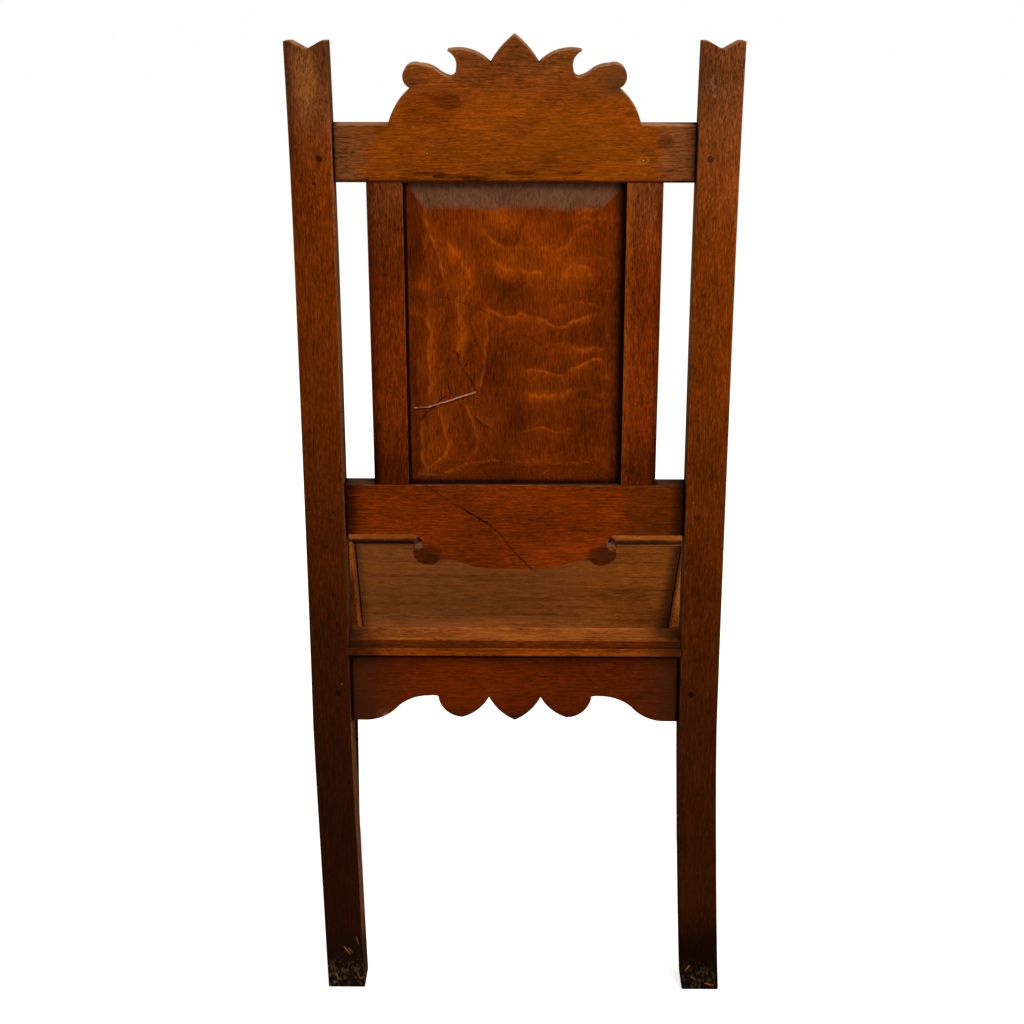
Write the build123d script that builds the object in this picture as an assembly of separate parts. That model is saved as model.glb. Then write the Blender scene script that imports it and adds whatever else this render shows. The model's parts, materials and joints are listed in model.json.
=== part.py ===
"""A bardic chair: a tall-backed oak chair with a sawn crest, a fielded back panel and a loose board seat.

The chair stands on the floor at Z = 0 and faces -Y, so the sitter's left is +X. Its origin is the middle of
the space it fills, on the floor. Lengths are in millimetres. Every joint is a real one: rails have tenons,
posts and legs have mortises, and pegs cross them.
"""
import os
from math import atan2, cos, degrees, radians, tan

from build123d import *

# Overall sizes
back_width = 491            # across the outer faces of the rear posts
post_height = 1161          # rear posts, floor to top
seat_height = 462           # top of the seat frame
seat_depth = 446            # front edge of the seat frame to the rear faces of the posts at the seat
seat_back_inset = 7         # edge of the seat frame inside the outer face of a post, where they meet
seat_flare = 49.5           # how much further out each side of the seat reaches at its front edge
back_sweep = 62             # how far the post tops stand behind the posts at the seat
foot_sweep = 12             # how far the rear feet stand behind the posts at the seat
leg_sway = 11               # how far the rear feet have crept to the sitter's right with age
sway_start = 350            # height at which the rear legs begin to lean

# Rear posts
post_width = 46
post_depth = 46
post_top_depth = 37
post_flat = 6               # flat left at each side of the notch in a post's top
post_notch = 8.5            # depth of that notch

# Front legs
leg_width = 42
leg_setback = 12            # front faces of the legs behind the edge of the seat frame
leg_foot_taper = 3          # taken off the inner face of a leg at the foot

# Seat frame and board
frame_thickness = 20
member_width = 52
inner_bevel = 4.5           # bevel round the inside of the frame's top
edge_step = 2.5             # how far the frame's upper edge is set back
edge_step_height = 10
board_drop = 4              # board's top below the frame's top
board_gap = 1.2             # clearance round the loose board
ledge_thickness = 12
ledge_reach = 12            # how far a ledge reaches under the board
board_thickness = frame_thickness - board_drop

# Back frame: two rails, two stiles and the panel, all in one leaning plane
back_opening = 86           # open height between the seat and the lowest point of the lower rail
shoulder_drop = 90.4        # shoulders of the crest rail below the tops of the posts
back_recess = 15            # rear faces of the rails in front of the posts' rear faces
rail_thickness = 24
rail_depth = 62.5           # depth of both back rails at their ends
stile_width = 40
stile_gap = 35.5            # open width between a post and the stile beside it
stile_thickness = 22
crest_rise = 158            # lower edge of the crest rail to its peak
shoulder_length = 61.2      # straight end of the crest rail, from a post to the arch
rail_drop = 44.5            # how far the lower rail's scallop hangs below its ends

# Panel
panel_thickness = 14
panel_tongue = 5.5          # thickness of its edge in the grooves
panel_left_bevel = 17
panel_right_bevel = 26      # planed wider on the sitter's right
panel_end_bevel = 26
panel_margin = 5.5          # flat of the tongue that shows between stile and bevel
panel_slip = 1.5            # the panel has slipped this far to the sitter's right
groove_depth = 9

# Aprons
apron_depth = 88
apron_thickness = 22
rear_apron_recess = 12      # its rear face in front of the posts' rear faces
front_apron_recess = 6      # its front face behind the legs' front faces
side_overhang = 12          # side aprons inside the frame's edge

# Joints
tenon_thickness = 9
tenon_length = 30           # back rails and rear apron into the posts
stub_length = 14            # side aprons into the posts
member_tenon_length = 10    # seat frame members into the posts
frame_tenon_length = 20     # side members into the front member
stile_tenon_length = 24
tenon_shoulder = 7          # wood left above and below a tenon
fit_gap = 0.15              # clearance on each cheek of a tenon
mortise_spare = 1           # empty depth past a tenon's end
peg_radius = 3.4
peg_fit = 0.1               # clearance round a peg
peg_inset = 13.5            # peg's middle from the shoulder of its joint
peg_bite = 4                # how far a post's peg goes on past its tenon
peg_stop = 7                # wood left past the inner end of a leg's peg
peg_proud = 0.4             # how far a peg's end stands out of its post
peg_height_share = 0.45     # how far up its joint a post's peg sits
leg_peg_shares = (0.33, 0.67)   # how far up the aprons the two pegs of a front leg sit
dowel_radius = 5
dowel_length = 40
dowel_inset = 12            # dowel's middle from the outer and front faces of its leg

# Corner blocks and screws
block_reach = 62
block_height = 38
screw_radius = 2.2
screw_head_radius = 4.2
screw_head_depth = 3
ledge_screw_length = 26
screw_depth_share = 0.36    # thickness of a block where its screw sits, to its reach
ledge_screw_shares = (-0.2, 0.2)

overrun = 10                # how far cutting tools run past what they cut

# Outlines, as shares of the sizes that carry them. In each chain every second point is one that an arc
# passes through, and the others are where two arcs meet.
crest_shares = (
    (0, 1), (0.105, 0.915), (0.19, 0.812),
    (0.335, 0.891), (0.528, 0.897),
    (0.463, 0.84), (0.46, 0.769),
    (0.473, 0.731), (0.503, 0.718),
    (0.553, 0.733), (0.612, 0.768),
    (0.675, 0.794), (0.742, 0.802),
    (0.872, 0.753), (0.812, 0.643),
    (0.928, 0.54),
)
rail_shares = (
    (0.597, 0), (0.567, 0.07), (0.55, 0.2),
    (0.606, 0.44), (0.579, 0.76),
    (0.517, 0.873), (0.462, 0.79),
    (0.442, 0.72), (0.418, 0.71),
    (0.342, 0.78), (0.264, 0.89),
    (0.14, 0.975), (0, 1),
)
apron_shares = (
    (0.9, 0), (0.795, 0.06), (0.707, 0.215),
    (0.612, 0.335), (0.52, 0.366),
    (0.495, 0.37), (0.467, 0.36),
    (0.405, 0.118), (0.316, 0.052),
    (0.222, 0.168), (0.157, 0.35),
    (0.092, 0.15), (0, 0.01),
)
back_line_shares = ((0.656, 0.28, 0.3), (0.853, 0.55, 0.7))   # height, sweep and taper on the way up
sway_shares = (0.44, 0.48)  # height and lean of a point on a rear leg's curve
notch_shares = (0.3, 0.76)  # where the notch's sides turn into its round bottom

# Worked out from the sizes above
seat_back_width = back_width - 2 * seat_back_inset
seat_front_width = seat_back_width + 2 * seat_flare
post_back = (seat_depth - back_sweep) / 2     # rear faces of the posts at the seat
post_front = post_back - post_depth
seat_front = post_back - seat_depth
post_inner = back_width / 2 - post_width
frame_bottom = seat_height - frame_thickness
seat_angle = degrees(atan2(seat_flare, post_front - seat_front))
leg_front = seat_front + leg_setback
leg_back = leg_front + leg_width
member_inner_back = post_back - member_width
member_inner_front = seat_front + member_width
apron_bottom = frame_bottom - apron_depth
rear_apron_back = post_back - rear_apron_recess
rear_apron_front = rear_apron_back - apron_thickness
front_apron_front = leg_front + front_apron_recess
front_apron_back = front_apron_front + apron_thickness
lower_rail_height = seat_height + back_opening + rail_drop   # lower edge of the rail's straight ends
crest_joint_height = post_height - shoulder_drop - rail_depth / 2
crest_half_width = post_inner - shoulder_length
stile_outer = post_inner - stile_gap
stile_inner = stile_outer - stile_width
sides = {"left": 1, "right": -1}


def post_sweep(height):
    """How far a post's rear face has swept back at a height above the seat, going straight between knots."""
    knots = [(seat_height, 0)] + [(up * post_height, sweep * back_sweep) for up, sweep, _ in back_line_shares]
    knots.append((post_height, back_sweep))
    for low, high in zip(knots, knots[1:]):
        if height <= high[0]:
            break
    return low[1] + (high[1] - low[1]) * (height - low[0]) / (high[0] - low[0])


back_lean = degrees(atan2(post_sweep(crest_joint_height) - post_sweep(lower_rail_height),
                          crest_joint_height - lower_rail_height))
crest_bottom = (post_height - shoulder_drop - lower_rail_height) / cos(radians(back_lean)) - rail_depth
back_frame_back = post_back + post_sweep(lower_rail_height) - back_recess
back_place = Pos(0, back_frame_back, lower_rail_height) * Rot(-back_lean, 0, 0)


def side_edge(y):
    """Half the width of the seat frame at a place along its depth."""
    return seat_front_width / 2 - (y - seat_front) * tan(radians(seat_angle))


leg_outer = side_edge(leg_back) - side_overhang + front_apron_recess
leg_inner = leg_outer - leg_width
# The two aprons' tenons meet in the corner of a front leg, and each stops short of where the other is cut
leg_tenon_length = leg_width - front_apron_recess - (apron_thickness + tenon_thickness) / 2 - mortise_spare


def block(x_span, y_span, z_span):
    """A box between two places on each axis."""
    size = [span[1] - span[0] for span in (x_span, y_span, z_span)]
    middle = [(span[1] + span[0]) / 2 for span in (x_span, y_span, z_span)]
    return Pos(*middle) * Box(*size)


def mirrored(span, side):
    """A span of X on the sitter's left, or its mirror image on the right."""
    return sorted(side * x for x in span)


def grown(span, by):
    """A span made longer by the same length at both ends."""
    return span[0] - by, span[1] + by


def prism(points, z_span):
    """An upright solid over a straight-sided outline."""
    return Pos(0, 0, z_span[0]) * extrude(make_face(Polyline(*points, close=True)), z_span[1] - z_span[0])


def scaled(shares, width, height):
    return [(x * width, z * height) for x, z in shares]


def arc_chain(points):
    """Arcs end to end, each from one even point through an odd one to the next even one."""
    return [ThreePointArc(points[i], points[i + 1], points[i + 2]) for i in range(0, len(points) - 2, 2)]


def post_slab():
    """The side view of a rear post, as one slab across the chair."""
    rear = [(post_back + foot_sweep, 0), (post_back, seat_height)]
    front = [(post_front + foot_sweep, 0), (post_front, seat_height)]
    for height, sweep, taper in back_line_shares:
        y = post_back + sweep * back_sweep
        rear.append((y, height * post_height))
        front.append((y - post_depth + taper * (post_depth - post_top_depth), height * post_height))
    rear.append((post_back + back_sweep, post_height))
    front.append((post_back + back_sweep - post_top_depth, post_height))
    outline = [Spline(*rear), Line(rear[-1], front[-1]), Spline(*reversed(front)), Line(front[0], rear[0])]
    return extrude(Plane.YZ * make_face(outline), seat_front_width, both=True)


def swayed_edge(x, top):
    """An upright line that leans over below the sway's start: its straight part and its curve."""
    bend, foot = (x, sway_start), (x - leg_sway, 0)
    middle = (x - leg_sway * sway_shares[1], sway_start * sway_shares[0])
    leans = ((-leg_sway, -2 * sway_start), (-3 * leg_sway, -2 * sway_start))
    return [Line((x, top), bend), Spline(bend, middle, foot, tangents=leans)]


def post_face(side):
    """A rear post seen from behind, with the notch in its top."""
    outer, inner = side * back_width / 2, side * post_inner
    middle, half = (outer + inner) / 2, post_width / 2 - post_flat
    step, floor = half * notch_shares[0], post_height - post_notch * notch_shares[1]
    top = [(outer, post_height), (middle + side * half, post_height), (middle + side * step, floor)]
    other = [(middle - side * step, floor), (middle - side * half, post_height), (inner, post_height)]
    notch = ThreePointArc(top[-1], (middle, post_height - post_notch), other[0])
    foot = [Line((outer - leg_sway, 0), (inner - leg_sway, 0))]
    edges = [*Polyline(*top).edges(), notch, *Polyline(*other).edges()]
    return make_face(edges + swayed_edge(outer, post_height) + swayed_edge(inner, post_height) + foot)


def leg_face(side):
    """A front leg seen from the front: square down to the apron, a little narrower at the foot."""
    outer, inner = side * leg_outer, side * leg_inner
    foot_inner = inner + side * leg_foot_taper
    points = [(outer, 0), (outer, frame_bottom), (inner, frame_bottom), (inner, apron_bottom), (foot_inner, 0)]
    return make_face(Polyline(*points, close=True))


def rail_tenon(side, low, high, grow=0, spare=0):
    """A tenon on a rail of the back, in the plane of the back, or with growth the mortise for it."""
    middle = -rail_thickness / 2
    cheeks = grown((middle - tenon_thickness / 2, middle + tenon_thickness / 2), grow)
    ends = grown((low + tenon_shoulder, high - tenon_shoulder), grow)
    return block(mirrored((post_inner - overrun, post_inner + tenon_length + spare), side), cheeks, ends)


def end_apron_tenon(side, shoulder, length, front, grow=0, spare=0):
    """A tenon on the end of the front or rear apron, whose front face and shoulder are given."""
    middle = front + apron_thickness / 2
    cheeks = grown((middle - tenon_thickness / 2, middle + tenon_thickness / 2), grow)
    x_span = mirrored((shoulder - overrun, shoulder + length + spare), side)
    return block(x_span, cheeks, apron_tenon_heights(grow))


def rear_apron_tenon(side, grow=0, spare=0):
    return end_apron_tenon(side, post_inner, tenon_length, rear_apron_front, grow, spare)


def front_apron_tenon(side, grow=0, spare=0):
    return end_apron_tenon(side, leg_inner, leg_tenon_length, front_apron_front, grow, spare)


def apron_tenon_heights(grow):
    return grown((apron_bottom + tenon_shoulder, frame_bottom - tenon_shoulder), grow)


def side_band(y_span, outside, thickness, z_span, side):
    """A band along one side of the seat, a set distance inside the frame's edge."""
    points = [(side_edge(y) - outside, y) for y in y_span]
    points += [(side_edge(y) - outside - thickness, y) for y in reversed(y_span)]
    return prism([(side * x, y) for x, y in points], z_span)


def side_apron_tenons(side, grow=0, spare=0):
    """A side apron's tenon in the leg in front, and its stub in the post behind."""
    inside = side_overhang + (apron_thickness - tenon_thickness) / 2 - grow
    in_leg = (leg_back - leg_tenon_length - spare, leg_back + overrun)
    in_post = (post_front - overrun, post_front + stub_length + spare)
    spans = [side_band(y_span, inside, tenon_thickness + 2 * grow, apron_tenon_heights(grow), side)
             for y_span in (in_leg, in_post)]
    return spans[0] + spans[1]


def stub_heights(grow):
    """Heights of the thin stubs in the seat frame's thickness."""
    middle = seat_height - frame_thickness / 2
    return grown((middle - tenon_thickness / 2, middle + tenon_thickness / 2), grow)


def rear_member_stub(side, grow=0, spare=0):
    """Stub on the end of the seat frame's rear member, in the inner face of a post."""
    x_span = mirrored((post_inner - overrun, post_inner + member_tenon_length + spare), side)
    y_span = grown((post_back - member_width / 2 - tenon_shoulder, post_back - 2 * tenon_shoulder), grow)
    return block(x_span, y_span, stub_heights(grow))


def side_member_stubs(side, grow=0, spare=0):
    """Stubs on the two ends of a seat frame's side member: in the post and in the front member."""
    middle = (post_inner + side_edge(post_front)) / 2
    half = member_width / 2 - tenon_shoulder
    x_span = mirrored(grown((middle - half / 2, middle + half / 2), grow), side)
    rear = block(x_span, (post_front - overrun, post_front + member_tenon_length + spare), stub_heights(grow))
    y_span = (member_inner_front - frame_tenon_length - spare, member_inner_front + overrun)
    front = side_band(y_span, tenon_shoulder - grow, 2 * (half + grow), stub_heights(grow), side)
    return rear + front


def peg(length, radius):
    """A round peg along Y, its outer end at the origin and its length to the front."""
    return Pos(0, -length / 2, 0) * Rot(90, 0, 0) * Cylinder(radius, length)


def post_peg(place, reach, slab, grow=0, spare=0):
    """A peg driven from behind through a post and the tenon in it, or with growth the hole for it."""
    driven = place * Pos(0, post_depth, 0) * peg(post_depth + reach + spare, peg_radius + grow)
    return driven if spare else driven & Pos(0, peg_proud, 0) * slab


def post_peg_places(side):
    """Where the pegs of a post cross the rear faces of its three rails, and how far past those they reach."""
    x = side * (post_inner + peg_inset)
    height = rail_depth * peg_height_share
    crest = back_place * Pos(x, 0, crest_bottom + height)
    lower = back_place * Pos(x, 0, height)
    reach = (rail_thickness + tenon_thickness) / 2 + peg_bite
    apron = Pos(x, rear_apron_back, apron_bottom + apron_depth * peg_height_share)
    stub_end = post_front + stub_length + mortise_spare
    tenon_front = rear_apron_front + (apron_thickness - tenon_thickness) / 2
    apron_reach = rear_apron_back - (stub_end + tenon_front) / 2
    return {
        "crest_rail_pegs": (crest, reach),
        "lower_rail_pegs": (lower, reach),
        "rear_apron_pegs": (apron, apron_reach),
    }


def leg_pegs(side, grow=0, spare=0):
    """The pegs of a front leg: one across the front apron's tenon, one across the side apron's."""
    length = leg_width - peg_stop + spare
    low, high = [apron_bottom + apron_depth * share for share in leg_peg_shares]
    front = Pos(side * (leg_inner + peg_inset), leg_front - peg_proud, high)
    across = Pos(side * (leg_outer + peg_proud), leg_back - peg_inset, low)
    pin = peg(length, peg_radius + grow)
    return [front * Rot(0, 0, 180) * pin, across * Rot(0, 0, -side * 90) * pin]


def frame_dowel(side, grow=0, spare=0):
    """An upright dowel that ties the seat frame to the top of a front leg."""
    high = frame_bottom + frame_thickness / 2
    x_middle, y_middle = side * (leg_outer - dowel_inset), leg_front + dowel_inset
    middle = high - dowel_length / 2
    return Pos(x_middle, y_middle, middle) * Cylinder(dowel_radius + grow, dowel_length + 2 * spare)


def wood_screw(length, grow=0, spare=0):
    """A countersunk screw along Z, its head's face at the origin, or with growth the hole for it."""
    radius, head_radius = screw_radius + grow, screw_head_radius + grow
    head = Pos(0, 0, screw_head_depth / 2) * Cone(head_radius, radius, screw_head_depth)
    screw = head + Pos(0, 0, (length + spare) / 2) * Cylinder(radius, length + spare)
    if spare:
        screw += Pos(0, 0, -overrun / 2) * Cylinder(head_radius, overrun)
    return screw


def ledge_screws(grow=0, spare=0):
    """Screws that go up through the ledges into the seat frame."""
    low = frame_bottom - ledge_thickness
    screw = wood_screw(ledge_screw_length, grow, spare)
    screws = []
    for share in ledge_screw_shares:
        across = share * seat_front_width
        along = (member_inner_front + member_inner_back) / 2 + share * seat_depth
        screws.append(Pos(across, (front_apron_back + member_inner_front) / 2, low) * screw)
        screws.append(Pos(across, (member_inner_back + rear_apron_front) / 2, low) * screw)
        inside = (side_overhang + apron_thickness + member_width) / 2
        for side in sides.values():
            screws.append(Pos(side * (side_edge(along) - inside), along, low) * screw)
    return screws


def block_ends():
    """For each end of the seat: the inner face of its apron, and the way from there into the seat."""
    return {"front": (front_apron_back, 1), "rear": (rear_apron_front, -1)}


def corner_block(end, side, slab):
    """A three-cornered block glued into a corner of the seat, under the ledges."""
    along, toward = block_ends()[end]
    inside = side_overhang + apron_thickness
    far = along + toward * block_reach
    corner, tip = side_edge(along) - inside, side_edge(far) - inside
    top = frame_bottom - ledge_thickness
    points = [(corner, along), (corner - block_reach, along), (tip, far)]
    wedge = prism([(side * x, y) for x, y in points], (top - block_height, top))
    outside = mirrored((post_inner, seat_front_width), side)
    leg = block(mirrored((leg_inner, seat_front_width), side), (leg_front, leg_back), (0, frame_bottom))
    post = slab & block(outside, (0, seat_depth), (0, seat_height))
    return wedge - leg - post


def corner_screws(end, side, grow=0, spare=0):
    """Two screws of a corner block: one into the end apron, one into the side apron."""
    along, toward = block_ends()[end]
    inside = side_overhang + apron_thickness
    depth = block_reach * screw_depth_share - screw_head_radius
    screw = wood_screw(depth + apron_thickness / 2, grow, spare)
    height = frame_bottom - ledge_thickness - block_height / 2
    wing = block_reach * (1 - screw_depth_share)
    across, y = side_edge(along) - inside - wing, along + toward * wing
    end_screw = Pos(side * across, along + toward * depth, height) * Rot(toward * 90, 0, 0) * screw
    side_screw = Pos(side * (side_edge(y) - inside - depth), y, height) * Rot(0, side * 90, 0) * screw
    return [end_screw, side_screw]


def cut(shape, tools):
    for tool in tools:
        shape -= tool
    return shape


def rear_post(side, slab, holes):
    """A rear leg and back upright in one, with its mortises."""
    post = slab & extrude(Plane.XZ * post_face(side), seat_depth, both=True)
    mortises = [
        back_place * rail_tenon(side, crest_bottom, crest_bottom + rail_depth, fit_gap, mortise_spare),
        back_place * rail_tenon(side, 0, rail_depth, fit_gap, mortise_spare),
        rear_apron_tenon(side, fit_gap, mortise_spare),
        side_apron_tenons(side, fit_gap, mortise_spare),
        rear_member_stub(side, fit_gap, mortise_spare),
        side_member_stubs(side, fit_gap, mortise_spare),
    ]
    return cut(post, mortises + holes)


def front_leg(side, holes):
    leg = extrude(Plane.XZ * leg_face(side), seat_depth, both=True)
    leg &= block((-seat_front_width, seat_front_width), (leg_front, leg_back), (0, frame_bottom))
    mortises = [
        front_apron_tenon(side, fit_gap, mortise_spare),
        side_apron_tenons(side, fit_gap, mortise_spare),
        frame_dowel(side, peg_fit, mortise_spare),
    ]
    return cut(leg, mortises + holes)


def half_outline(points, corners):
    """Closed outline of a board's right half: its arcs, then straight edges back to the first point."""
    stops = [points[-1], *corners, points[0]]
    return make_face(arc_chain(points) + [Line(a, b) for a, b in zip(stops, stops[1:])])


def both_halves(face):
    return face + mirror(face, Plane.YZ)


def stile_tenon(side, low, high, grow=0, spare=0):
    middle = -rail_thickness / 2
    width = (stile_inner + groove_depth, stile_outer - tenon_shoulder)
    cheeks = grown((middle - tenon_thickness / 2, middle + tenon_thickness / 2), grow)
    return block(mirrored(grown(width, grow), side), cheeks, grown((low, high), spare))


def panel_grooves():
    """The space cut out of the rails and stiles for the panel's edge."""
    middle, half = -rail_thickness / 2, stile_inner + groove_depth
    cheeks = grown((middle - panel_tongue / 2, middle + panel_tongue / 2), fit_gap)
    return block((-half, half), cheeks, (rail_depth - groove_depth, crest_bottom + groove_depth))


def back_rail(face, low, stile_span, holes):
    """A rail of the back: its board, its two tenons, the stiles' mortises and the panel's groove."""
    rail = extrude(Plane.XZ * face, rail_thickness)
    for side in sides.values():
        rail += rail_tenon(side, low, low + rail_depth)
        rail -= stile_tenon(side, *stile_span, fit_gap, mortise_spare)
    return cut(back_place * (rail - panel_grooves()), holes)


def crest_rail(holes):
    """The top rail: straight shoulders, then an arch of scrolls and flame leaves up to a pointed leaf."""
    points = scaled(crest_shares, crest_half_width, crest_rise) + [(crest_half_width, rail_depth)]
    face = both_halves(half_outline(points, [(post_inner, rail_depth), (post_inner, 0), (0, 0)]))
    stile_span = (crest_bottom, crest_bottom + stile_tenon_length)
    return back_rail(Pos(0, crest_bottom) * face, crest_bottom, stile_span, holes)


def lower_back_rail(holes):
    """The lower rail: straight at its ends, with a scallop between two round lobes under its middle."""
    points = scaled(rail_shares, post_inner, -rail_drop)
    face = both_halves(half_outline(points, [(0, rail_depth), (post_inner, rail_depth), (post_inner, 0)]))
    return back_rail(face, 0, (rail_depth - stile_tenon_length, rail_depth), holes)


def back_stile(side):
    front = -(rail_thickness + stile_thickness) / 2
    stile = block(mirrored((stile_inner, stile_outer), side), (front, front + stile_thickness),
                  (rail_depth, crest_bottom))
    stile += stile_tenon(side, rail_depth - stile_tenon_length, crest_bottom + stile_tenon_length)
    return back_place * (stile - panel_grooves())


def panel_outline(half_width, low, high):
    corners = [(-half_width, low), (half_width, low), (half_width, high), (-half_width, high)]
    return Plane.XZ * make_face(Polyline(*corners, close=True))


def back_panel():
    """The fielded panel: a thin tongue all round, bevels, and a raised field on the rear."""
    half_width = stile_inner + groove_depth - panel_slip - mortise_spare
    low, high = rail_depth - groove_depth, crest_bottom + groove_depth - 2 * mortise_spare
    tongue_back = (panel_tongue - rail_thickness) / 2
    tongue = block((-half_width, half_width), (tongue_back - panel_tongue, tongue_back), (low, high))
    width, low, high = stile_inner - panel_margin, rail_depth + panel_margin, crest_bottom - panel_margin
    foot = panel_outline(width, low, high)
    bevels = (panel_left_bevel + panel_right_bevel) / 2
    field = panel_outline(width - bevels, low + panel_end_bevel, high - panel_end_bevel)
    aside = bevels - panel_left_bevel
    raised = loft([foot, Pos(aside, panel_thickness - panel_tongue, 0) * field])
    return back_place * Pos(-panel_slip, 0, 0) * (tongue + Pos(0, tongue_back, 0) * raised)


def apron_face(half_length):
    """Apron outline: ogees from the ends, two round lobes and a pointed middle lobe."""
    points = [(x, apron_bottom + z) for x, z in scaled(apron_shares, half_length, apron_depth)]
    corners = [(0, frame_bottom), (half_length, frame_bottom), (half_length, apron_bottom)]
    return both_halves(half_outline(points, corners))


def end_apron(half_length, back, tenon, holes):
    """The front or rear apron, between legs or posts, with its tenons."""
    apron = Pos(0, back, 0) * extrude(Plane.XZ * apron_face(half_length), apron_thickness)
    for side in sides.values():
        apron += tenon(side)
    return cut(apron, holes)


def side_apron(side, slab, holes):
    """A side apron: it follows the flare of the seat, and its ends are scribed to the post and the leg."""
    length = post_front - leg_back
    face = Pos((post_front + leg_back) / 2, 0) * apron_face(length / 2)
    z_span = (apron_bottom, frame_bottom)
    reach = extrude(Plane.YZ * face, seat_front_width, both=True)
    reach += block((-seat_front_width, seat_front_width), (post_front, post_back), z_span)
    apron = side_band((leg_back, post_front + overrun), side_overhang, apron_thickness, z_span, side)
    return cut((apron & reach) - slab + side_apron_tenons(side), holes)


def opening_corners(inset):
    """Corners of the frame's opening, or of what lies a set distance inside it."""
    across = (member_width + inset) / cos(radians(seat_angle))
    front, rear = member_inner_front + inset, member_inner_back - inset
    left = [(side_edge(front) - across, front), (side_edge(rear) - across, rear)]
    return left + [(-x, y) for x, y in reversed(left)]


def seat_plan(inset):
    """Outline of the seat frame, notched at its rear corners for the posts."""
    front, deep, rear = seat_front + inset, post_front + overrun, post_back - inset
    slant = inset / cos(radians(seat_angle))
    left = [(side_edge(front) - slant, front), (side_edge(deep) - slant, deep)]
    left += [(post_inner, deep), (post_inner, rear)]
    return left + [(-x, y) for x, y in reversed(left)]


def seat_ring():
    """The whole seat frame, stepped round its edge and bevelled inside, before it is parted in four."""
    step = seat_height - edge_step_height
    ring = prism(seat_plan(0), (frame_bottom, step)) + prism(seat_plan(edge_step), (step, seat_height))
    ring -= prism(opening_corners(0), (frame_bottom - overrun, seat_height + overrun))
    foot = Pos(0, 0, seat_height - inner_bevel) * make_face(Polyline(*opening_corners(0), close=True))
    top = Pos(0, 0, seat_height) * make_face(Polyline(*opening_corners(-inner_bevel), close=True))
    return ring - loft([foot, top])


def seat_frame(slab, holes):
    """The four members of the seat frame, by name."""
    ring = seat_ring()
    wide, tall = (-seat_front_width, seat_front_width), (frame_bottom - overrun, seat_height + overrun)
    front = ring & block(wide, (seat_front - overrun, member_inner_front), tall)
    rear_zone = block((-post_inner, post_inner), (member_inner_back, post_back + overrun), tall)
    rear = ring & rear_zone
    members = {}
    for name, side in sides.items():
        half = block(mirrored((0, seat_front_width), side), (member_inner_front, post_back), tall)
        members["seat_frame_" + name] = (ring & half) - rear_zone - slab + side_member_stubs(side)
        front -= side_member_stubs(side, fit_gap, mortise_spare)
        front -= frame_dowel(side, peg_fit, mortise_spare)
        rear += rear_member_stub(side)
    members.update(seat_frame_front=front, seat_frame_rear=rear)
    return {name: cut(member, holes) for name, member in members.items()}


def seat_board():
    """The loose board: it fills the opening but for a small gap, and rests on the ledges."""
    return prism(opening_corners(board_gap), (frame_bottom, frame_bottom + board_thickness))


def seat_ledges(holes):
    """Strips under the opening: half of each holds the frame, half carries the board."""
    z_span = (frame_bottom - ledge_thickness, frame_bottom)
    front_edge, rear_edge = member_inner_front + ledge_reach, member_inner_back - ledge_reach
    front_half, rear_half = leg_inner - tenon_shoulder, post_inner - tenon_shoulder
    ledges = {
        "seat_ledge_front": block((-front_half, front_half), (front_apron_back, front_edge), z_span),
        "seat_ledge_rear": block((-rear_half, rear_half), (rear_edge, rear_apron_front), z_span),
    }
    outside = side_overhang + apron_thickness
    width = member_width + ledge_reach - outside
    for name, side in sides.items():
        ledges["seat_ledge_" + name] = side_band((front_edge, rear_edge), outside, width, z_span, side)
    return {name: cut(ledge, holes) for name, ledge in ledges.items()}


def pegs_and_holes(slab):
    """Every peg, dowel and screw by node, and for each the holes that it goes through."""
    fasteners, holes = {}, {}
    for side in sides.values():
        for name, (place, reach) in post_peg_places(side).items():
            fasteners.setdefault(name, []).append(post_peg(place, reach, slab))
            holes.setdefault(name, []).append(post_peg(place, reach, slab, peg_fit, mortise_spare))
        fasteners.setdefault("front_leg_pegs", []).extend(leg_pegs(side))
        holes.setdefault("front_leg_pegs", []).extend(leg_pegs(side, peg_fit, mortise_spare))
        fasteners.setdefault("frame_dowels", []).append(frame_dowel(side))
        for end in block_ends():
            fasteners.setdefault("corner_block_screws", []).extend(corner_screws(end, side))
            bored = corner_screws(end, side, peg_fit, mortise_spare)
            holes.setdefault("corner_block_screws", []).extend(bored)
    fasteners["ledge_screws"] = ledge_screws()
    holes["ledge_screws"] = ledge_screws(peg_fit, mortise_spare)
    return fasteners, holes


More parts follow.
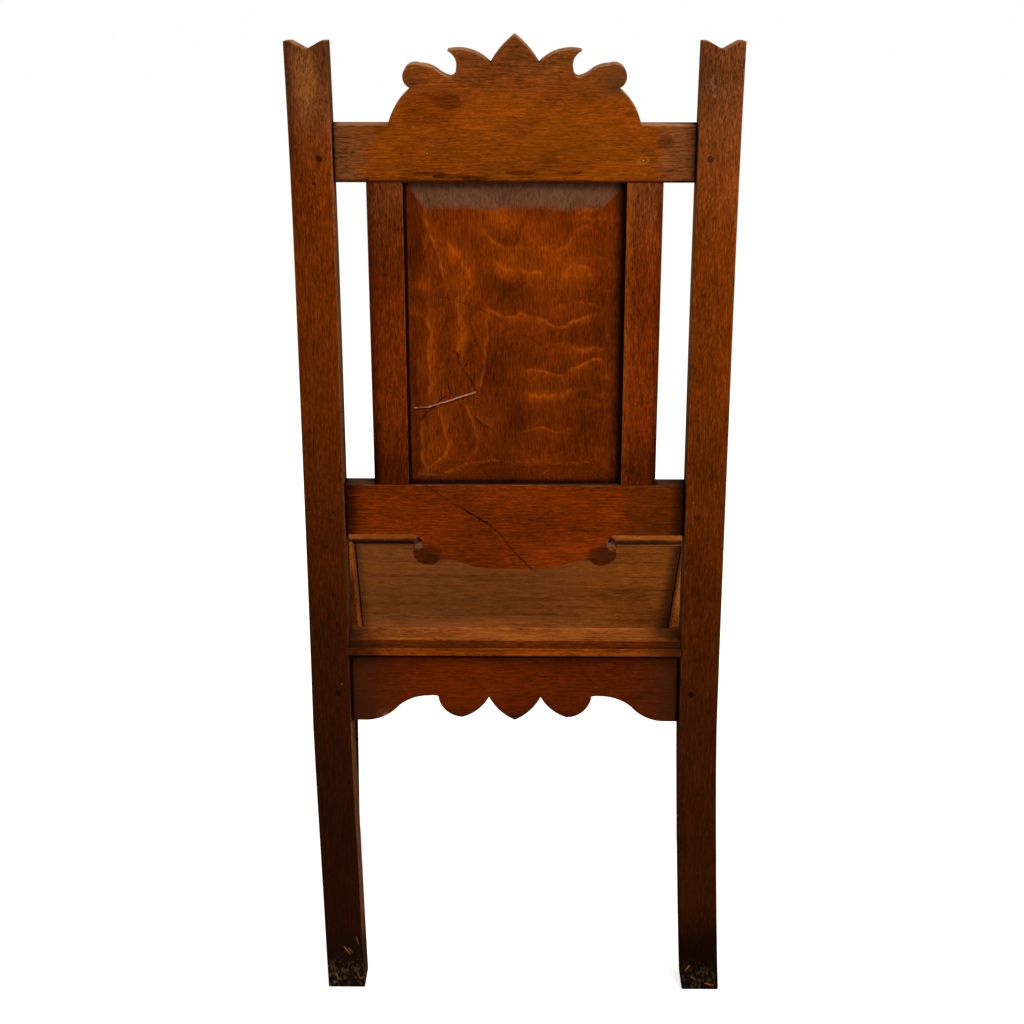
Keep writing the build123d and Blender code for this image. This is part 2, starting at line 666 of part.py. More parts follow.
def chair():
    """Every piece of the chair, by the name of its node."""
    slab = post_slab()
    fasteners, holes = pegs_and_holes(slab)
    post_holes = holes["crest_rail_pegs"] + holes["lower_rail_pegs"] + holes["rear_apron_pegs"]
    side_apron_holes = holes["front_leg_pegs"] + holes["corner_block_screws"]
    pieces = {
        "crest_rail": crest_rail(holes["crest_rail_pegs"]),
        "lower_back_rail": lower_back_rail(holes["lower_rail_pegs"]),
        "back_panel": back_panel(),
        "seat_board": seat_board(),
        "rear_apron": end_apron(post_inner, rear_apron_back, rear_apron_tenon,
                                holes["rear_apron_pegs"] + holes["corner_block_screws"]),
        "front_apron": end_apron(leg_inner, front_apron_back, front_apron_tenon,
                                 holes["front_leg_pegs"] + holes["corner_block_screws"]),
    }
    for name, side in sides.items():
        pieces["rear_post_" + name] = rear_post(side, slab, post_holes)
        pieces["front_leg_" + name] = front_leg(side, holes["front_leg_pegs"])
        pieces["back_stile_" + name] = back_stile(side)
        pieces["side_apron_" + name] = side_apron(side, slab, side_apron_holes)
        for end in block_ends():
            blank = corner_block(end, side, slab)
            pieces[f"corner_block_{end}_{name}"] = cut(blank, holes["corner_block_screws"])
    pieces.update(seat_frame(slab, holes["ledge_screws"]))
    pieces.update(seat_ledges(holes["ledge_screws"]))
    for name, shapes in fasteners.items():
        pieces[name] = Compound(children=[solid for shape in shapes for solid in shape.solids()])
    return pieces


os.makedirs("parts", exist_ok=True)
for node, piece in chair().items():
    export_step(piece, os.path.join("parts", node + ".step"))
    print(node, len(piece.solids()), "solids")
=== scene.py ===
# %% [markdown]
# # A bardic chair, seen from behind
# This notebook dresses a finished model of an old oak chair. The model holds the joinery: posts, rails,
# panel, seat and every peg, each a closed solid at its real size. Here each piece gets what a model of
# joinery lacks: arrises eased by years of hands, grain, varnish, stains, cracks and a carved front.
# All lengths are in metres. The chair faces -Y, so its back is towards +Y, and +X is the sitter's left.

# %% Load the chair
import json
from math import cos, pi, radians, sin

import bmesh
import bpy
import numpy as np
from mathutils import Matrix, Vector
from mathutils.bvhtree import BVHTree


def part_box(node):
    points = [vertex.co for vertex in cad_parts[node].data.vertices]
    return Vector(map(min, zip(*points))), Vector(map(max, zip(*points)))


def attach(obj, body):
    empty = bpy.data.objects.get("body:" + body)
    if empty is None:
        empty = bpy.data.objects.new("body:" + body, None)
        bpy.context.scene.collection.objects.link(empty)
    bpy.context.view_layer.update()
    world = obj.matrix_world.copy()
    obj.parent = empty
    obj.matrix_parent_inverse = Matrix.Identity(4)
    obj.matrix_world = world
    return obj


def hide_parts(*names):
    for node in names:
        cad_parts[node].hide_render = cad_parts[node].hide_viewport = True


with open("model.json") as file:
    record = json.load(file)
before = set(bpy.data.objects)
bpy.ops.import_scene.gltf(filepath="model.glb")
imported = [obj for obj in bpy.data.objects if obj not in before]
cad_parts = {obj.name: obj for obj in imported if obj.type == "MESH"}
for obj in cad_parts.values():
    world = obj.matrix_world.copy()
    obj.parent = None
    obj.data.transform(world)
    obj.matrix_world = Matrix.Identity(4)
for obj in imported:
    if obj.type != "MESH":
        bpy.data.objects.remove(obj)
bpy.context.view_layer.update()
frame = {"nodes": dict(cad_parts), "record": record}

mm = 0.001
slots = {row["node"]: row["material_slot"] for row in frame["record"]["subparts"]}
body_of = {node: body for body, nodes in frame["record"]["behaviour"]["bodies"].items() for node in nodes}


def pairs(numbers):
    """Numbers two by two, as the places of a line."""
    return list(zip(numbers[::2], numbers[1::2]))


def stand(name, data):
    """A new object of the scene."""
    made = bpy.data.objects.new(name, data)
    bpy.context.scene.collection.objects.link(made)
    return made


# %% [markdown]
# ## The camera
# The picture was taken from behind, a little above the chair's back, looking down. The two posts come closer
# together towards the floor in it, and that tells how far the camera stood and how much it looked down: only
# one height, distance and tilt make two parallel posts converge by as much. A long lens at that place gives
# the same view, with no shift.

# %% Place the camera
image_side = 1024
focal_pixels = 1850
camera_place = Vector((-0.025, 2.271, 1.239))
look_down, look_aside = radians(16.5), radians(0.778)

camera_data = bpy.data.cameras.new("camera")
camera_data.sensor_width = 36
camera_data.lens = focal_pixels / image_side * camera_data.sensor_width
camera = stand("camera", camera_data)
level = cos(look_down)
sight = Vector((sin(look_aside) * level, -cos(look_aside) * level, -sin(look_down)))
camera.location = camera_place
camera.rotation_euler = sight.to_track_quat("-Z", "Y").to_euler()
bpy.context.scene.camera = camera
print("lens", round(camera_data.lens, 1), "mm")

# %% [markdown]
# ## Shader maths as Python
# A material is a graph of nodes, and a formula such as `1 - mask * 0.5` takes three of them. Wiring those by
# hand hides the formula. So one small class wraps a socket and overloads the operators: writing the sum adds
# the nodes. Every other node comes from one method, `node`, which takes the node's type, the values or links
# of its sockets, and its settings. A colour is written as it looks on a screen, from 0 to 255, and `as_light`
# turns it into the light that the shader needs.

# %% Sockets that can be added and multiplied
def operation(name):
    """An operator that adds one Math node to the graph of its first signal."""
    return lambda signal, *others: signal.math(name, *others)


class Signal:
    """One number of a shader graph. Arithmetic on it adds nodes, and | is the greater of two masks."""

    def __init__(self, graph, socket):
        self.graph, self.socket = graph, socket

    def math(self, name, *others):
        return self.graph.node("Math", dict(enumerate((self, *others))), operation=name)

    def __rsub__(self, other):
        return self.graph.node("Math", {0: other, 1: self}, operation="SUBTRACT")

    __add__ = __radd__ = operation("ADD")
    __mul__ = __rmul__ = operation("MULTIPLY")
    __sub__, __truediv__, __pow__ = operation("SUBTRACT"), operation("DIVIDE"), operation("POWER")
    __or__, size = operation("MAXIMUM"), operation("ABSOLUTE")

    def rise(self, low, high):
        """0 up to low, 1 from high on, and a smooth rise between."""
        limits = {"Value": self, "From Min": low, "From Max": high}
        return self.graph.node("MapRange", limits, interpolation_type="SMOOTHSTEP")

    def fall(self, low, high):
        """1 up to low, 0 from high on."""
        return 1 - self.rise(low, high)

    def inside(self, low, high, soft):
        """1 between low and high, falling to 0 over a soft edge outside them."""
        return self.rise(low - soft, low) * self.fall(high, high + soft)

    def bent(self, amount, scale=40):
        """A place on a board, moved to and fro by a number of mm, so that a stain's edge is uneven."""
        return self + ragged(self.graph, amount * mm, scale)


def as_light(colour):
    """A colour of 0 to 255 as the light it stands for: the standard screen curve, undone. A signal stays."""
    if isinstance(colour, Signal):
        return colour
    share = np.array(colour) / 255
    curve = np.where(share <= 0.04045, share / 12.92, ((share + 0.055) / 1.055) ** 2.4)
    return (*curve.tolist(), 1)


class Graph:
    """The node tree of one material, or of the world."""

    def __init__(self, owner):
        owner.use_nodes = True
        self.owner, self.tree = owner, owner.node_tree
        self.tree.nodes.clear()

    def node(self, kind, values=None, output=0, **settings):
        """Adds a node, sets its settings and then its sockets, and returns one of its outputs."""
        made = self.tree.nodes.new("ShaderNode" + kind)
        for key, value in settings.items():
            setattr(made, key, value)
        for key, value in (values or {}).items():
            if isinstance(value, Signal):
                self.tree.links.new(value.socket, made.inputs[key])
            else:
                made.inputs[key].default_value = value
        return Signal(self, made.outputs[output]) if made.outputs else None

    def split(self, vector):
        parts = self.node("SeparateXYZ", {0: vector})
        return [Signal(self, socket) for socket in parts.socket.node.outputs]

    def join(self, x, y, z):
        return self.node("CombineXYZ", {0: x, 1: y, 2: z})

    def noise(self, place, detail=2, roughness=0.5):
        """Noise from 0 to 1, with its middle at a half, at a place of three signals, already scaled."""
        values = {"Vector": self.join(*place), "Scale": 1, "Detail": detail, "Roughness": roughness}
        return self.node("TexNoise", values)

    def blend(self, first, second, share, way="MIX"):
        """The first colour turning into the second, or into their product, as the share goes from 0 to 1."""
        values = {0: share, 6: as_light(first), 7: as_light(second)}
        return self.node("Mix", values, 2, data_type="RGBA", blend_type=way)

    def attribute(self, name):
        return self.node("Attribute", output="Fac", attribute_name=name)

    def end(self, shader):
        """Ends the graph of a material in a shader, and returns the material."""
        self.node("OutputMaterial", {"Surface": shader})
        return self.owner


print("shader helpers ready")

# %% [markdown]
# ## The studio
# The floor and the space round the chair are white to the eye and to anything glossy, while the light that
# really falls on the wood is plainer: a pale sky all round, and large soft lamps, the strongest of them high
# behind the camera on its right. The floor is an ordinary matt surface that also glows a little for the
# camera, so it stays white and still keeps the chair's shadow.

# %% Floor, sky and lamps
floor_reach = 60
floor_grey, floor_glow = 0.8, 0.66
sky_level = 0.42
lamps = [
    # name, place, size, watts
    ("high_lamp", (-1.1, 1.9, 2.6), 1.2, 50),
    ("side_lamp", (-2.2, 0.7, 1.5), 1.2, 12),
    ("front_lamp", (1.0, -2.4, 2.2), 1.6, 50),
]
lamp_target = Vector((0, 0, 0.75))


def seen_directly(graph):
    """1 for what the camera, a gloss or glass sees, and 0 for light on its way to a matt surface."""
    path = graph.node("LightPath").socket.node.outputs
    rays = ("Is Camera Ray", "Is Glossy Ray", "Is Transmission Ray")
    camera_ray, glossy_ray, transmission_ray = [Signal(graph, path[name]) for name in rays]
    return camera_ray | glossy_ray | transmission_ray


def lit_sky():
    world = bpy.data.worlds.new("studio")
    graph = Graph(world)
    strength = seen_directly(graph) * (1 - sky_level) + sky_level
    glow = graph.node("Background", {"Color": (1, 1, 1, 1), "Strength": strength})
    graph.node("OutputWorld", {"Surface": glow})
    bpy.context.scene.world = world


def floor():
    """A square of floor, facing up."""
    mesh = bpy.data.meshes.new("floor")
    corners = floor_reach * np.array(((-1, -1, 0), (1, -1, 0), (1, 1, 0), (-1, 1, 0)))
    mesh.from_pydata(corners.tolist(), [], [(0, 1, 2, 3)])
    graph = Graph(bpy.data.materials.new("floor_paint"))
    matt = graph.node("BsdfDiffuse", {"Color": (floor_grey, floor_grey, floor_grey, 1)})
    glow = graph.node("Emission", {"Strength": seen_directly(graph) * floor_glow})
    mesh.materials.append(graph.end(graph.node("AddShader", {0: matt, 1: glow})))
    stand("floor", mesh)


def lamp(name, place, size, watts):
    data = bpy.data.lights.new(name, "AREA")
    data.size, data.energy = size, watts
    made = stand(name, data)
    made.location = place
    made.rotation_euler = (lamp_target - Vector(place)).to_track_quat("-Z", "Y").to_euler()


lit_sky()
floor()
for row in lamps:
    lamp(*row)
bpy.context.scene.view_settings.view_transform = "Standard"
print(len(lamps), "lamps")

# %% [markdown]
# ## Eased arrises
# Hands, cloths and floors round every edge of an old chair by a millimetre or so, and the varnish there
# wears thin and catches the light. The model's meshes are loose triangles, so each wooden piece is copied,
# its corners are welded, and the flat triangles are melted into whole faces. Then a Bevel modifier rounds
# only the edges that a hand could reach: an edge is hidden where a point just outside it lies within another
# piece. The faces that the bevel makes are marked in an attribute, `worn`, which the materials read.

# %% Weld a copy and find its open edges
weld_distance = 0.01 * mm
flat_angle = radians(0.4)
sharp_angle = radians(30)
smooth_angle = radians(25)
probe = 0.2 * mm
spans = {name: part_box(name) for name in frame["nodes"]}
graph_of_scene = bpy.context.evaluated_depsgraph_get()
walls = {name: BVHTree.FromObject(node, graph_of_scene) for name, node in frame["nodes"].items()}
skew = Vector((0.31, 0.57, 0.76)).normalized()


def within(name, point):
    """True if a point lies in a piece: a ray from it crosses the piece's walls an odd number of times."""
    low, high = spans[name]
    if any(point[i] < low[i] or point[i] > high[i] for i in range(3)):
        return False
    crossings, start = 0, point
    while (hit := walls[name].ray_cast(start, skew)[0]) is not None:
        crossings += 1
        start = hit + skew * weld_distance
    return crossings % 2 == 1


def welded(node):
    """A copy of a piece's mesh with its corners merged and its flat faces whole."""
    shape = bmesh.new()
    shape.from_mesh(frame["nodes"][node].data)
    bmesh.ops.remove_doubles(shape, verts=shape.verts, dist=weld_distance)
    bmesh.ops.dissolve_limit(shape, angle_limit=flat_angle, verts=shape.verts, edges=shape.edges)
    return shape


def open_edges(shape, node):
    """The sharp edges of a piece whose outside is air."""
    found = []
    for edge in shape.edges:
        if len(edge.link_faces) != 2 or edge.calc_face_angle() < sharp_angle or not edge.is_convex:
            continue
        outward = (edge.link_faces[0].normal + edge.link_faces[1].normal).normalized()
        point = (edge.verts[0].co + edge.verts[1].co) / 2 + outward * probe
        if not any(within(other, point) for other in walls if other != node):
            found.append(edge)
    return found


print("walls of", len(walls), "pieces ready")

# %% Round the open edges
def eased(node, ease, foot_ease):
    """The piece with its open edges rounded by a radius, and those on the floor by another."""
    shape = welded(node)
    weights = shape.edges.layers.float.new("bevel_weight_edge")
    widest = max(ease, foot_ease)
    for edge in open_edges(shape, node):
        on_floor = all(corner.co.z < probe for corner in edge.verts)
        edge[weights] = (foot_ease if on_floor else ease) / widest
    mesh = bpy.data.meshes.new(node + "_plain")
    shape.to_mesh(mesh)
    shape.free()
    for _ in range(2):
        mesh.materials.append(None)
    piece = stand(node + "_eased", mesh)
    bevel = piece.modifiers.new("ease", "BEVEL")
    bevel.width, bevel.segments, bevel.limit_method = widest, 3, "WEIGHT"
    bevel.use_clamp_overlap = False
    bevel.material = 1
    ready = piece.evaluated_get(bpy.context.evaluated_depsgraph_get())
    piece.data = bpy.data.meshes.new_from_object(ready)
    piece.modifiers.clear()
    piece.data.name = piece.name
    bpy.data.meshes.remove(mesh)
    mark_worn(piece.data)
    return piece


def mark_worn(mesh):
    """Writes which faces the bevel made into an attribute, and leaves the mesh no material yet."""
    slot = np.zeros(len(mesh.polygons), np.int32)
    mesh.polygons.foreach_get("material_index", slot)
    mesh.attributes.new("worn", "FLOAT", "FACE").data.foreach_set("value", (slot > 0).astype(np.float32))
    mesh.polygons.foreach_set("material_index", np.zeros(len(mesh.polygons), np.int32))
    mesh.materials.clear()
    mesh.shade_smooth()
    mesh.set_sharp_from_angle(angle=smooth_angle)


def settle(piece, node, material):
    """Lets a finished piece stand for a node: it rides on the node's body and takes its finish."""
    piece.data.materials.append(material)
    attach(piece, body_of[node])
    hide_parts(node)


print("copies can be welded and eased")

# %% [markdown]
# ## Old varnished oak
# Oak shows several scales at once. Growth rings run along the board as soft bands a few millimetres apart.
# Fine streaks and open pores run the same way: dashes a fraction of a millimetre wide and about a centimetre
# long. And the whole board clouds lighter and darker where sun, hands and stain have been. Each is noise,
# stretched along the grain, and a `Board` keeps them as numbers beside its colour and its relief. `oak`
# mixes tones by them, adds the dirt that gathers in corners with painted shade there, and the wear of the
# arrises, and ends in a satin varnish.

# %% The grain of a board
pith_depth = 55 * mm
ring_width = 4.2 * mm
curl = 2.4 * mm
turned = {"x": (0, 2, 1), "y": (1, 0, 2), "z": (2, 0, 1)}


class Board(Graph):
    """The shader graph of one board, with its places, its grain, and its colour and relief so far."""

    def __init__(self, owner, along, seed, wave):
        """Rings, streaks, dashes, flecks and clouds are signals from 0 to 1.

        The board's coordinates are turned so that the first runs along the grain. Rings are the fraction of
        the distance from a pith line behind the board, divided by the ring width, after a slow drift
        sideways. Behind, upward and on_left are 1 on faces to the back, on tops and in the chair's left half.
        """
        super().__init__(owner)
        self.places = self.split(self.node("TexCoord", output="Object"))
        self.x, self.y, self.z = self.places
        self.facing_x, self.facing_y, self.facing_z = self.split(self.node("NewGeometry", output="Normal"))
        self.behind, self.upward = self.facing_y.rise(-0.2, 0.2), self.facing_z.rise(0.6, 0.9)
        self.on_left = self.x.rise(-0.01, 0.01)
        run, across, through = [self.places[i] for i in turned[along]]
        drift = (self.noise((run * 5 + seed, across * 9, through * 9), 3) - 0.5) * wave
        drift = drift + (self.noise((run * 36 + seed, across * 40, through * 40)) - 0.5) * curl
        side, deep = across + drift, through + drift
        radius = ((side - pith_depth * (seed % 5 - 2) / 4) ** 2 + (deep + pith_depth) ** 2) ** 0.5
        wobble = self.noise((run * 25 + seed, side * 150, through * 150))
        self.rings = (radius / ring_width + wobble * 1.3).math("FRACT")
        self.streaks = self.noise((run * 45 + seed, side * 560, deep * 560), 3, 0.6)
        self.dashes = self.noise((run * 150 + seed, side * 950, deep * 950), 2, 0.6)
        self.flecks = self.noise((run * 230 + seed, side * 420, deep * 420), 1).rise(0.6, 0.74)
        self.clouds = self.noise((run * 7 + seed, across * 16, through * 16), 5, 0.65)

    def speckle(self, scale_x, scale_y, scale_z, detail=2):
        """Noise all over the board, with a scale for each axis."""
        return self.noise((self.x * scale_x, self.y * scale_y, self.z * scale_z), detail)

    def grained(self, dark, light, contrast=1.0, middle=0.5):
        """A stain that the grain shows through: dark and light where the wood is."""
        return self.blend(dark, light, self.tone * contrast + middle)


def tones(middle, spread):
    """The dark, middle and light tone of a wood, from its middle one."""
    return [np.clip(np.array(middle) * (1 + step * spread), 0, 255) for step in (-1, 0, 1)]


def varnish(board, roughness, polish):
    """Varnish over the board's colour, with its relief in metres as bump and a share of polish on top."""
    lifted = board.node("Bump", {"Strength": 0.7, "Distance": 1, "Height": board.relief})
    return board.end(board.node("BsdfPrincipled", {
        "Base Color": board.colour, "Roughness": roughness, "Normal": lifted, "Specular IOR Level": 0,
        "Coat Weight": polish, "Coat Roughness": 0.32}))


corner_reach = 9 * mm
pore_depth, streak_depth = 0.08 * mm, 0.05 * mm
# Painted shade and grime: the colour of darkened corners and of the black line under the seat frame
shade_and_grime = (16, 8, 4)
joint_black = (14, 7, 3)
dust_sheen_low, dust_sheen_high = (58, 32, 15), (142, 86, 46)
polish_share = 0.16


def oak(name, along, seed, middle, spread=0.34, paint=None, wave=6 * mm, rough=0.5, corners=0.9,
        wear=(176, 92, 26)):
    """A board of old varnished oak. Paint is a function that stains, dusts and marks it, and paints some
    light and shade.

    The share of the light tone is a half, plus each scale of grain about its middle times its weight.
    """
    board = Board(bpy.data.materials.new(name), along, seed, wave)
    share = (board.rings - 0.5) * -0.18 + (board.streaks - 0.5) * 1.6 + (board.dashes - 0.5) * 1.7
    share = share + (board.clouds - 0.5) * 1.3 + board.flecks * 0.22 - 0.02
    board.tone = share
    dark, plain, light = tones(middle, spread)
    board.colour = board.blend(board.blend(plain, dark, share.fall(-0.5, 0)), light, share.rise(0, 0.5))
    board.relief = board.dashes * pore_depth + board.streaks * streak_depth
    rubbed = board.attribute("worn") * board.speckle(70, 70, 70, 3).rise(0.4, 0.62)
    board.colour = board.blend(board.colour, wear, rubbed * 0.45)
    if paint:
        paint(board)
    # Painted shade with dirt: darker in corners, where ambient occlusion finds other surfaces close by
    open_sky = board.node("AmbientOcclusion", {"Distance": corner_reach}, "AO", samples=8)
    dirt = open_sky.fall(0.4, 0.92) * (board.clouds * 0.5 + 0.75) * corners
    board.colour = board.blend(board.colour, shade_and_grime, dirt)
    polish = (board.facing_y * -1).rise(0.2, 0.8) * (board.clouds + 0.5) * polish_share
    return varnish(board, board.clouds * 0.3 + (rough - 0.15), polish)


print("oak ready")

# %% [markdown]
# ## Stains and marks
# Old stain and dirt gather by place, and painted shade is laid by place too: where a rail meets a post,
# towards the floor, along a top that nobody dusts. The frame says where each joint is, so a stain is a
# distance from a joint, made uneven by noise. A crack or a scratch is a line through a few places on the
# board, and its mask falls with the distance to the nearest of its straight parts. These masks are numbers
# too, so the colours follow from the same sums.

# %% Masks by place
def ragged(board, amount, scale=40):
    """A slow unevenness, centred on nothing, that bends the edge of a stain and breaks it up."""
    return (board.speckle(scale, scale, scale, 4) - 0.5) * amount


def spot(board, x, z, across, up):
    """1 in the middle of an oval on the back of the chair, 0 at its edge and outside it; all in mm."""
    off_x, off_z = (board.x - x * mm) / (across * mm), (board.z - z * mm) / (up * mm)
    return ((off_x ** 2 + off_z ** 2) ** 0.5).fall(0, 1)


def blot(board, x, z, across, up, scale=90):
    """A spot with a ragged edge."""
    return (spot(board, x, z, across, up) * (ragged(board, 2.4, scale) + 1)).rise(0.2, 0.6)


def distance_to(board, places, bend):
    """Distance to a line through places, seen from behind: the least of those to its straight parts.

    For each part it is the length of what is left of the way from its start, once the way along it, kept
    within its ends, is taken off.
    """
    here = board.join(board.x.bent(bend, 180), 0, board.z.bent(bend, 150))
    points = [Vector((x * mm, 0, z * mm)) for x, z in places]
    nearest = None
    for start, end in zip(points, points[1:]):
        step = end - start
        unit = step / step.length_squared
        way = board.node("VectorMath", {0: here, 1: start}, operation="SUBTRACT")
        along = board.node("VectorMath", {0: way, 1: unit}, "Value", operation="DOT_PRODUCT")
        held = board.node("Clamp", {"Value": along})
        passed = board.node("VectorMath", {0: step, "Scale": held}, operation="SCALE")
        rest = board.node("VectorMath", {0: way, 1: passed}, "Value", operation="DISTANCE")
        nearest = nearest.math("MINIMUM", rest) if nearest else rest
    return nearest


print("masks ready")

# %% The places that stains keep to
post_inner = -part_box("rear_post_right")[1].x
stile_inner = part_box("back_stile_left")[0].x
stile_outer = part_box("back_stile_left")[1].x
front_leg_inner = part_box("front_leg_left")[0].x
seat_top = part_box("seat_frame_rear")[1].z
rail_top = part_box("lower_back_rail")[1].z
frame_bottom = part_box("seat_frame_rear")[0].z
apron_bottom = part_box("rear_apron")[0].z
step_height = 10 * mm
board_points = np.array([corner.co for corner in frame["nodes"]["seat_board"].data.vertices])
board_front, board_rear = board_points[:, 1].min(), board_points[:, 1].max()
half_front, half_rear = [abs(board_points[abs(board_points[:, 1] - y) < probe, 0]).max()
                         for y in (board_front, board_rear)]
board_flare = (half_rear - half_front) / (board_rear - board_front)
print("the seat board is", round(2 * half_rear, 3), "m wide behind and", round(2 * half_front, 3), "in front")

# %% [markdown]
# ## Layers of finish
# Every mark is one more thin layer over the board's colour: a stain that turns it into a tone, a dark glaze
# that multiplies it, or dust with a painted sheen that lies in the varnish. A crack or a scratch also lowers
# the relief, so its edges catch the light.

# %% Layers that all boards share
def stain(tone, mask, way="MIX"):
    """Turns the colour of the board that the mask belongs to into a tone, where the mask is 1."""
    board = mask.graph
    board.colour = board.blend(board.colour, tone, mask, way)


def darker(mask, tone=(40, 26, 18)):
    """Multiplies the colour by a tone where the mask is 1, as a dark glaze does."""
    stain(tone, mask, "MULTIPLY")


def dust_and_sheen(mask, amount):
    """Grey-brown haze in the varnish, thick where the mask is 1: dust with a painted sheen; the grain still
    shows in it.
    """
    dust = mask.graph.grained(dust_sheen_low, dust_sheen_high, 0.9, 0.45)
    stain(dust, mask * (mask.graph.clouds * 0.6 + 0.7) * amount)


def near_ends(board, begin, full, bend, scale=40, end=post_inner):
    """1 at both ends of a rail. It begins and is full at a number of mm from the end, with a bent edge."""
    return board.x.size().bent(bend, scale).rise(end - begin * mm, end - full * mm)


def jointed(board, width=3, end=post_inner):
    """A black line of old polish and dirt along a rail's ends, where they meet the posts, with painted shade
    there.
    """
    stain(joint_black, near_ends(board, width, width / 2, 1.5, 90, end) * 0.92)


def scored(board, rows):
    """Cracks and scratches. Each row has a width, bend, tone, strength and depth, then places, all in mm."""
    for width, bend, tone, strength, depth, *numbers in rows:
        line = distance_to(board, pairs(numbers), bend).fall(width * 0.2 * mm, width * mm)
        line = line * (ragged(board, 3.0, 130) + 0.75).rise(0, 0.8) * board.behind
        stain(tone, line * strength)
        board.relief = board.relief - line * (depth * mm)


def knot(board, x, z, reach, cloud):
    """A small knot: a pale cloud of turned grain, a dark ring and a bright heart."""
    stain((158, 88, 26), blot(board, x, z, reach * 5, reach * 3, 120) * cloud)
    ring = spot(board, x, z, reach * 1.7, reach * 1.4).rise(0.05, 0.4)
    stain((60, 25, 6), ring * 0.6)
    stain((196, 118, 44), spot(board, x, z, reach * 0.9, reach * 0.7).rise(0.1, 0.7) * 0.8)


def top_light_and_dust(board, low=0.5, high=0.8):
    """Faces that look up are painted a pale tan: painted light from above, on varnish worn and dusted."""
    stain(board.grained((112, 70, 40), (186, 134, 92), 1.1), board.facing_z.rise(low, high) * 0.85)


print("layers ready")

# %% [markdown]
# ## The rails and the aprons
# Behind, the crest rail is grey with dust and a painted sheen on its scrolls and ends, and stained along its
# lower edge. A long crack runs down the lower rail from the panel's corner: a wide board held fast at both
# ends shrinks and splits so. The aprons are dark at their ends, where a cloth seldom comes, and under the
# seat they are painted black as the seat frame's shadow.

# %% Finish the rails and the aprons
crest_stains = [
    # middle across and up, reach across and up
    (96, 1018, 34, 4), (70, 1015, 40, 4.5), (40, 1013, 34, 4), (-7, 1019, 30, 4), (-60, 1019, 30, 3),
]


def crest_paint(board):
    """Dust and painted sheen on the scrolls and ends, painted light on the tops, dark wavering stains along
    the lower edge, and two knots.
    """
    scrolls = board.z.bent(50).rise(1.085, 1.16)
    lobes = spot(board, 110, 1118, 26, 22) | spot(board, -110, 1118, 28, 24)
    dust_and_sheen(near_ends(board, 52, 18, 44), 0.7)
    dust_and_sheen(scrolls | lobes, 0.5)
    darker(lobes * 0.3)
    stain((88, 54, 26), spot(board, -108, 1118, 34, 28) * 0.45)
    darker(spot(board, 0, 1152, 16, 18) * 0.3)
    darker(blot(board, -165, 1052, 16, 12) * 0.4)
    for place in crest_stains:
        darker(blot(board, *place, 130) * board.streaks.rise(0.3, 0.6) * 0.7)
    knot(board, -141, 1033, 2.6, 0.45)
    knot(board, 96, 1040, 2.0, 0.1)
    darker(board.z.bent(3).fall(1.0095, 1.0125) * 0.8)
    darker(blot(board, 92, 1088, 60, 34, 30) * 0.3, (90, 44, 20))
    darker(blot(board, 72, 1096, 26, 14, 60) * 0.35, (90, 44, 20))
    stain((150, 76, 10), blot(board, -48, 1052, 90, 40, 30) * 0.22)
    top_light_and_dust(board, 0.35, 0.7)
    jointed(board)


rail_cracks = [
    # width, bend, tone, strength, depth, then across and up of each place
    (1.2, 4, (50, 20, 4), 0.7, 0.3, 105, 655, 86, 641, 68, 628),
    (1.7, 5, (14, 7, 3), 0.95, 0.9, 66, 628, 50, 618, 32, 607),
    (1.3, 4, (40, 15, 4), 0.85, 0.6, 33, 609, 16, 592, 8, 580, -3, 566, -20, 549),
]


def lower_rail_paint(board):
    """Dark ends, a greyer right half, and the long crack that runs down from the panel's corner."""
    lobes = spot(board, 104, 564, 29, 25) | spot(board, -103.5, 565, 29, 24)
    lobes = lobes + ragged(board, 0.5, 120)
    darker(near_ends(board, 22, 5, 10) * 0.7)
    stain(board.grained((36, 15, 4), (74, 34, 12)), lobes.rise(0.1, 0.6) * 0.8)
    # Painted highlight and sheen: pale grey patches on the upper edges of the lobes
    lobe_top_sheen = (blot(board, 114, 580, 9, 10) | blot(board, -113.5, 581, 8, 13)) * board.behind
    pale = board.grained((72, 46, 28), (126, 94, 66))
    stain(pale, lobe_top_sheen * 0.75)
    greyer = board.x.bent(60).fall(-0.16, -0.1)
    stain((62, 33, 9), greyer * 0.35)
    stain((128, 52, 6), blot(board, 0, 625, 120, 24, 60) * board.flecks * 0.8)
    # Faces that look up are painted grey: a painted sheen, with dust
    stain((64, 50, 36), board.upward * 0.8)
    scored(board, rail_cracks)
    jointed(board)


def apron_paint(board, end=post_inner):
    """Warm in the middle, grey-brown at the ends, with one pale worn place at the edge."""
    stain((50, 28, 14), near_ends(board, 75, 5, 40, end=end) * 0.7)
    stain((100, 62, 34), blot(board, 160, 362, 16, 15, 120) * 0.3)
    stain((150, 104, 68), blot(board, 156.5, 359, 8, 9, 190) * 0.6)
    # Painted shadow: the top of the apron, under the seat frame, is black
    under = board.z.rise(frame_bottom - 7.4 * mm, frame_bottom - 5.4 * mm)
    stain((12, 6, 3), under * 0.9)
    tips = board.z.bent(12).fall(apron_bottom + 2 * mm, apron_bottom + 20 * mm)
    tips = tips * board.x.size().fall(90 * mm, 115 * mm)
    stain((38, 15, 4), tips * 0.6)
    jointed(board, 5, end)


def front_apron_paint(board):
    """The same between the front legs, which stand further apart."""
    apron_paint(board, front_leg_inner)


print("rails and aprons ready")

# %% [markdown]
# ## The seat and its frame
# The seat gets more wear than any other part. The varnish of its frame is paler on top, partly as painted
# light from above, and bright where hands rub the arrises; the left inner arris has a painted highlight.
# Beside the loose board it is black with painted shade and dirt, and the board takes a painted shadow from
# the frame. The board narrows towards the back, so how far a place lies outside its slanting side is a sum of
# both coordinates.

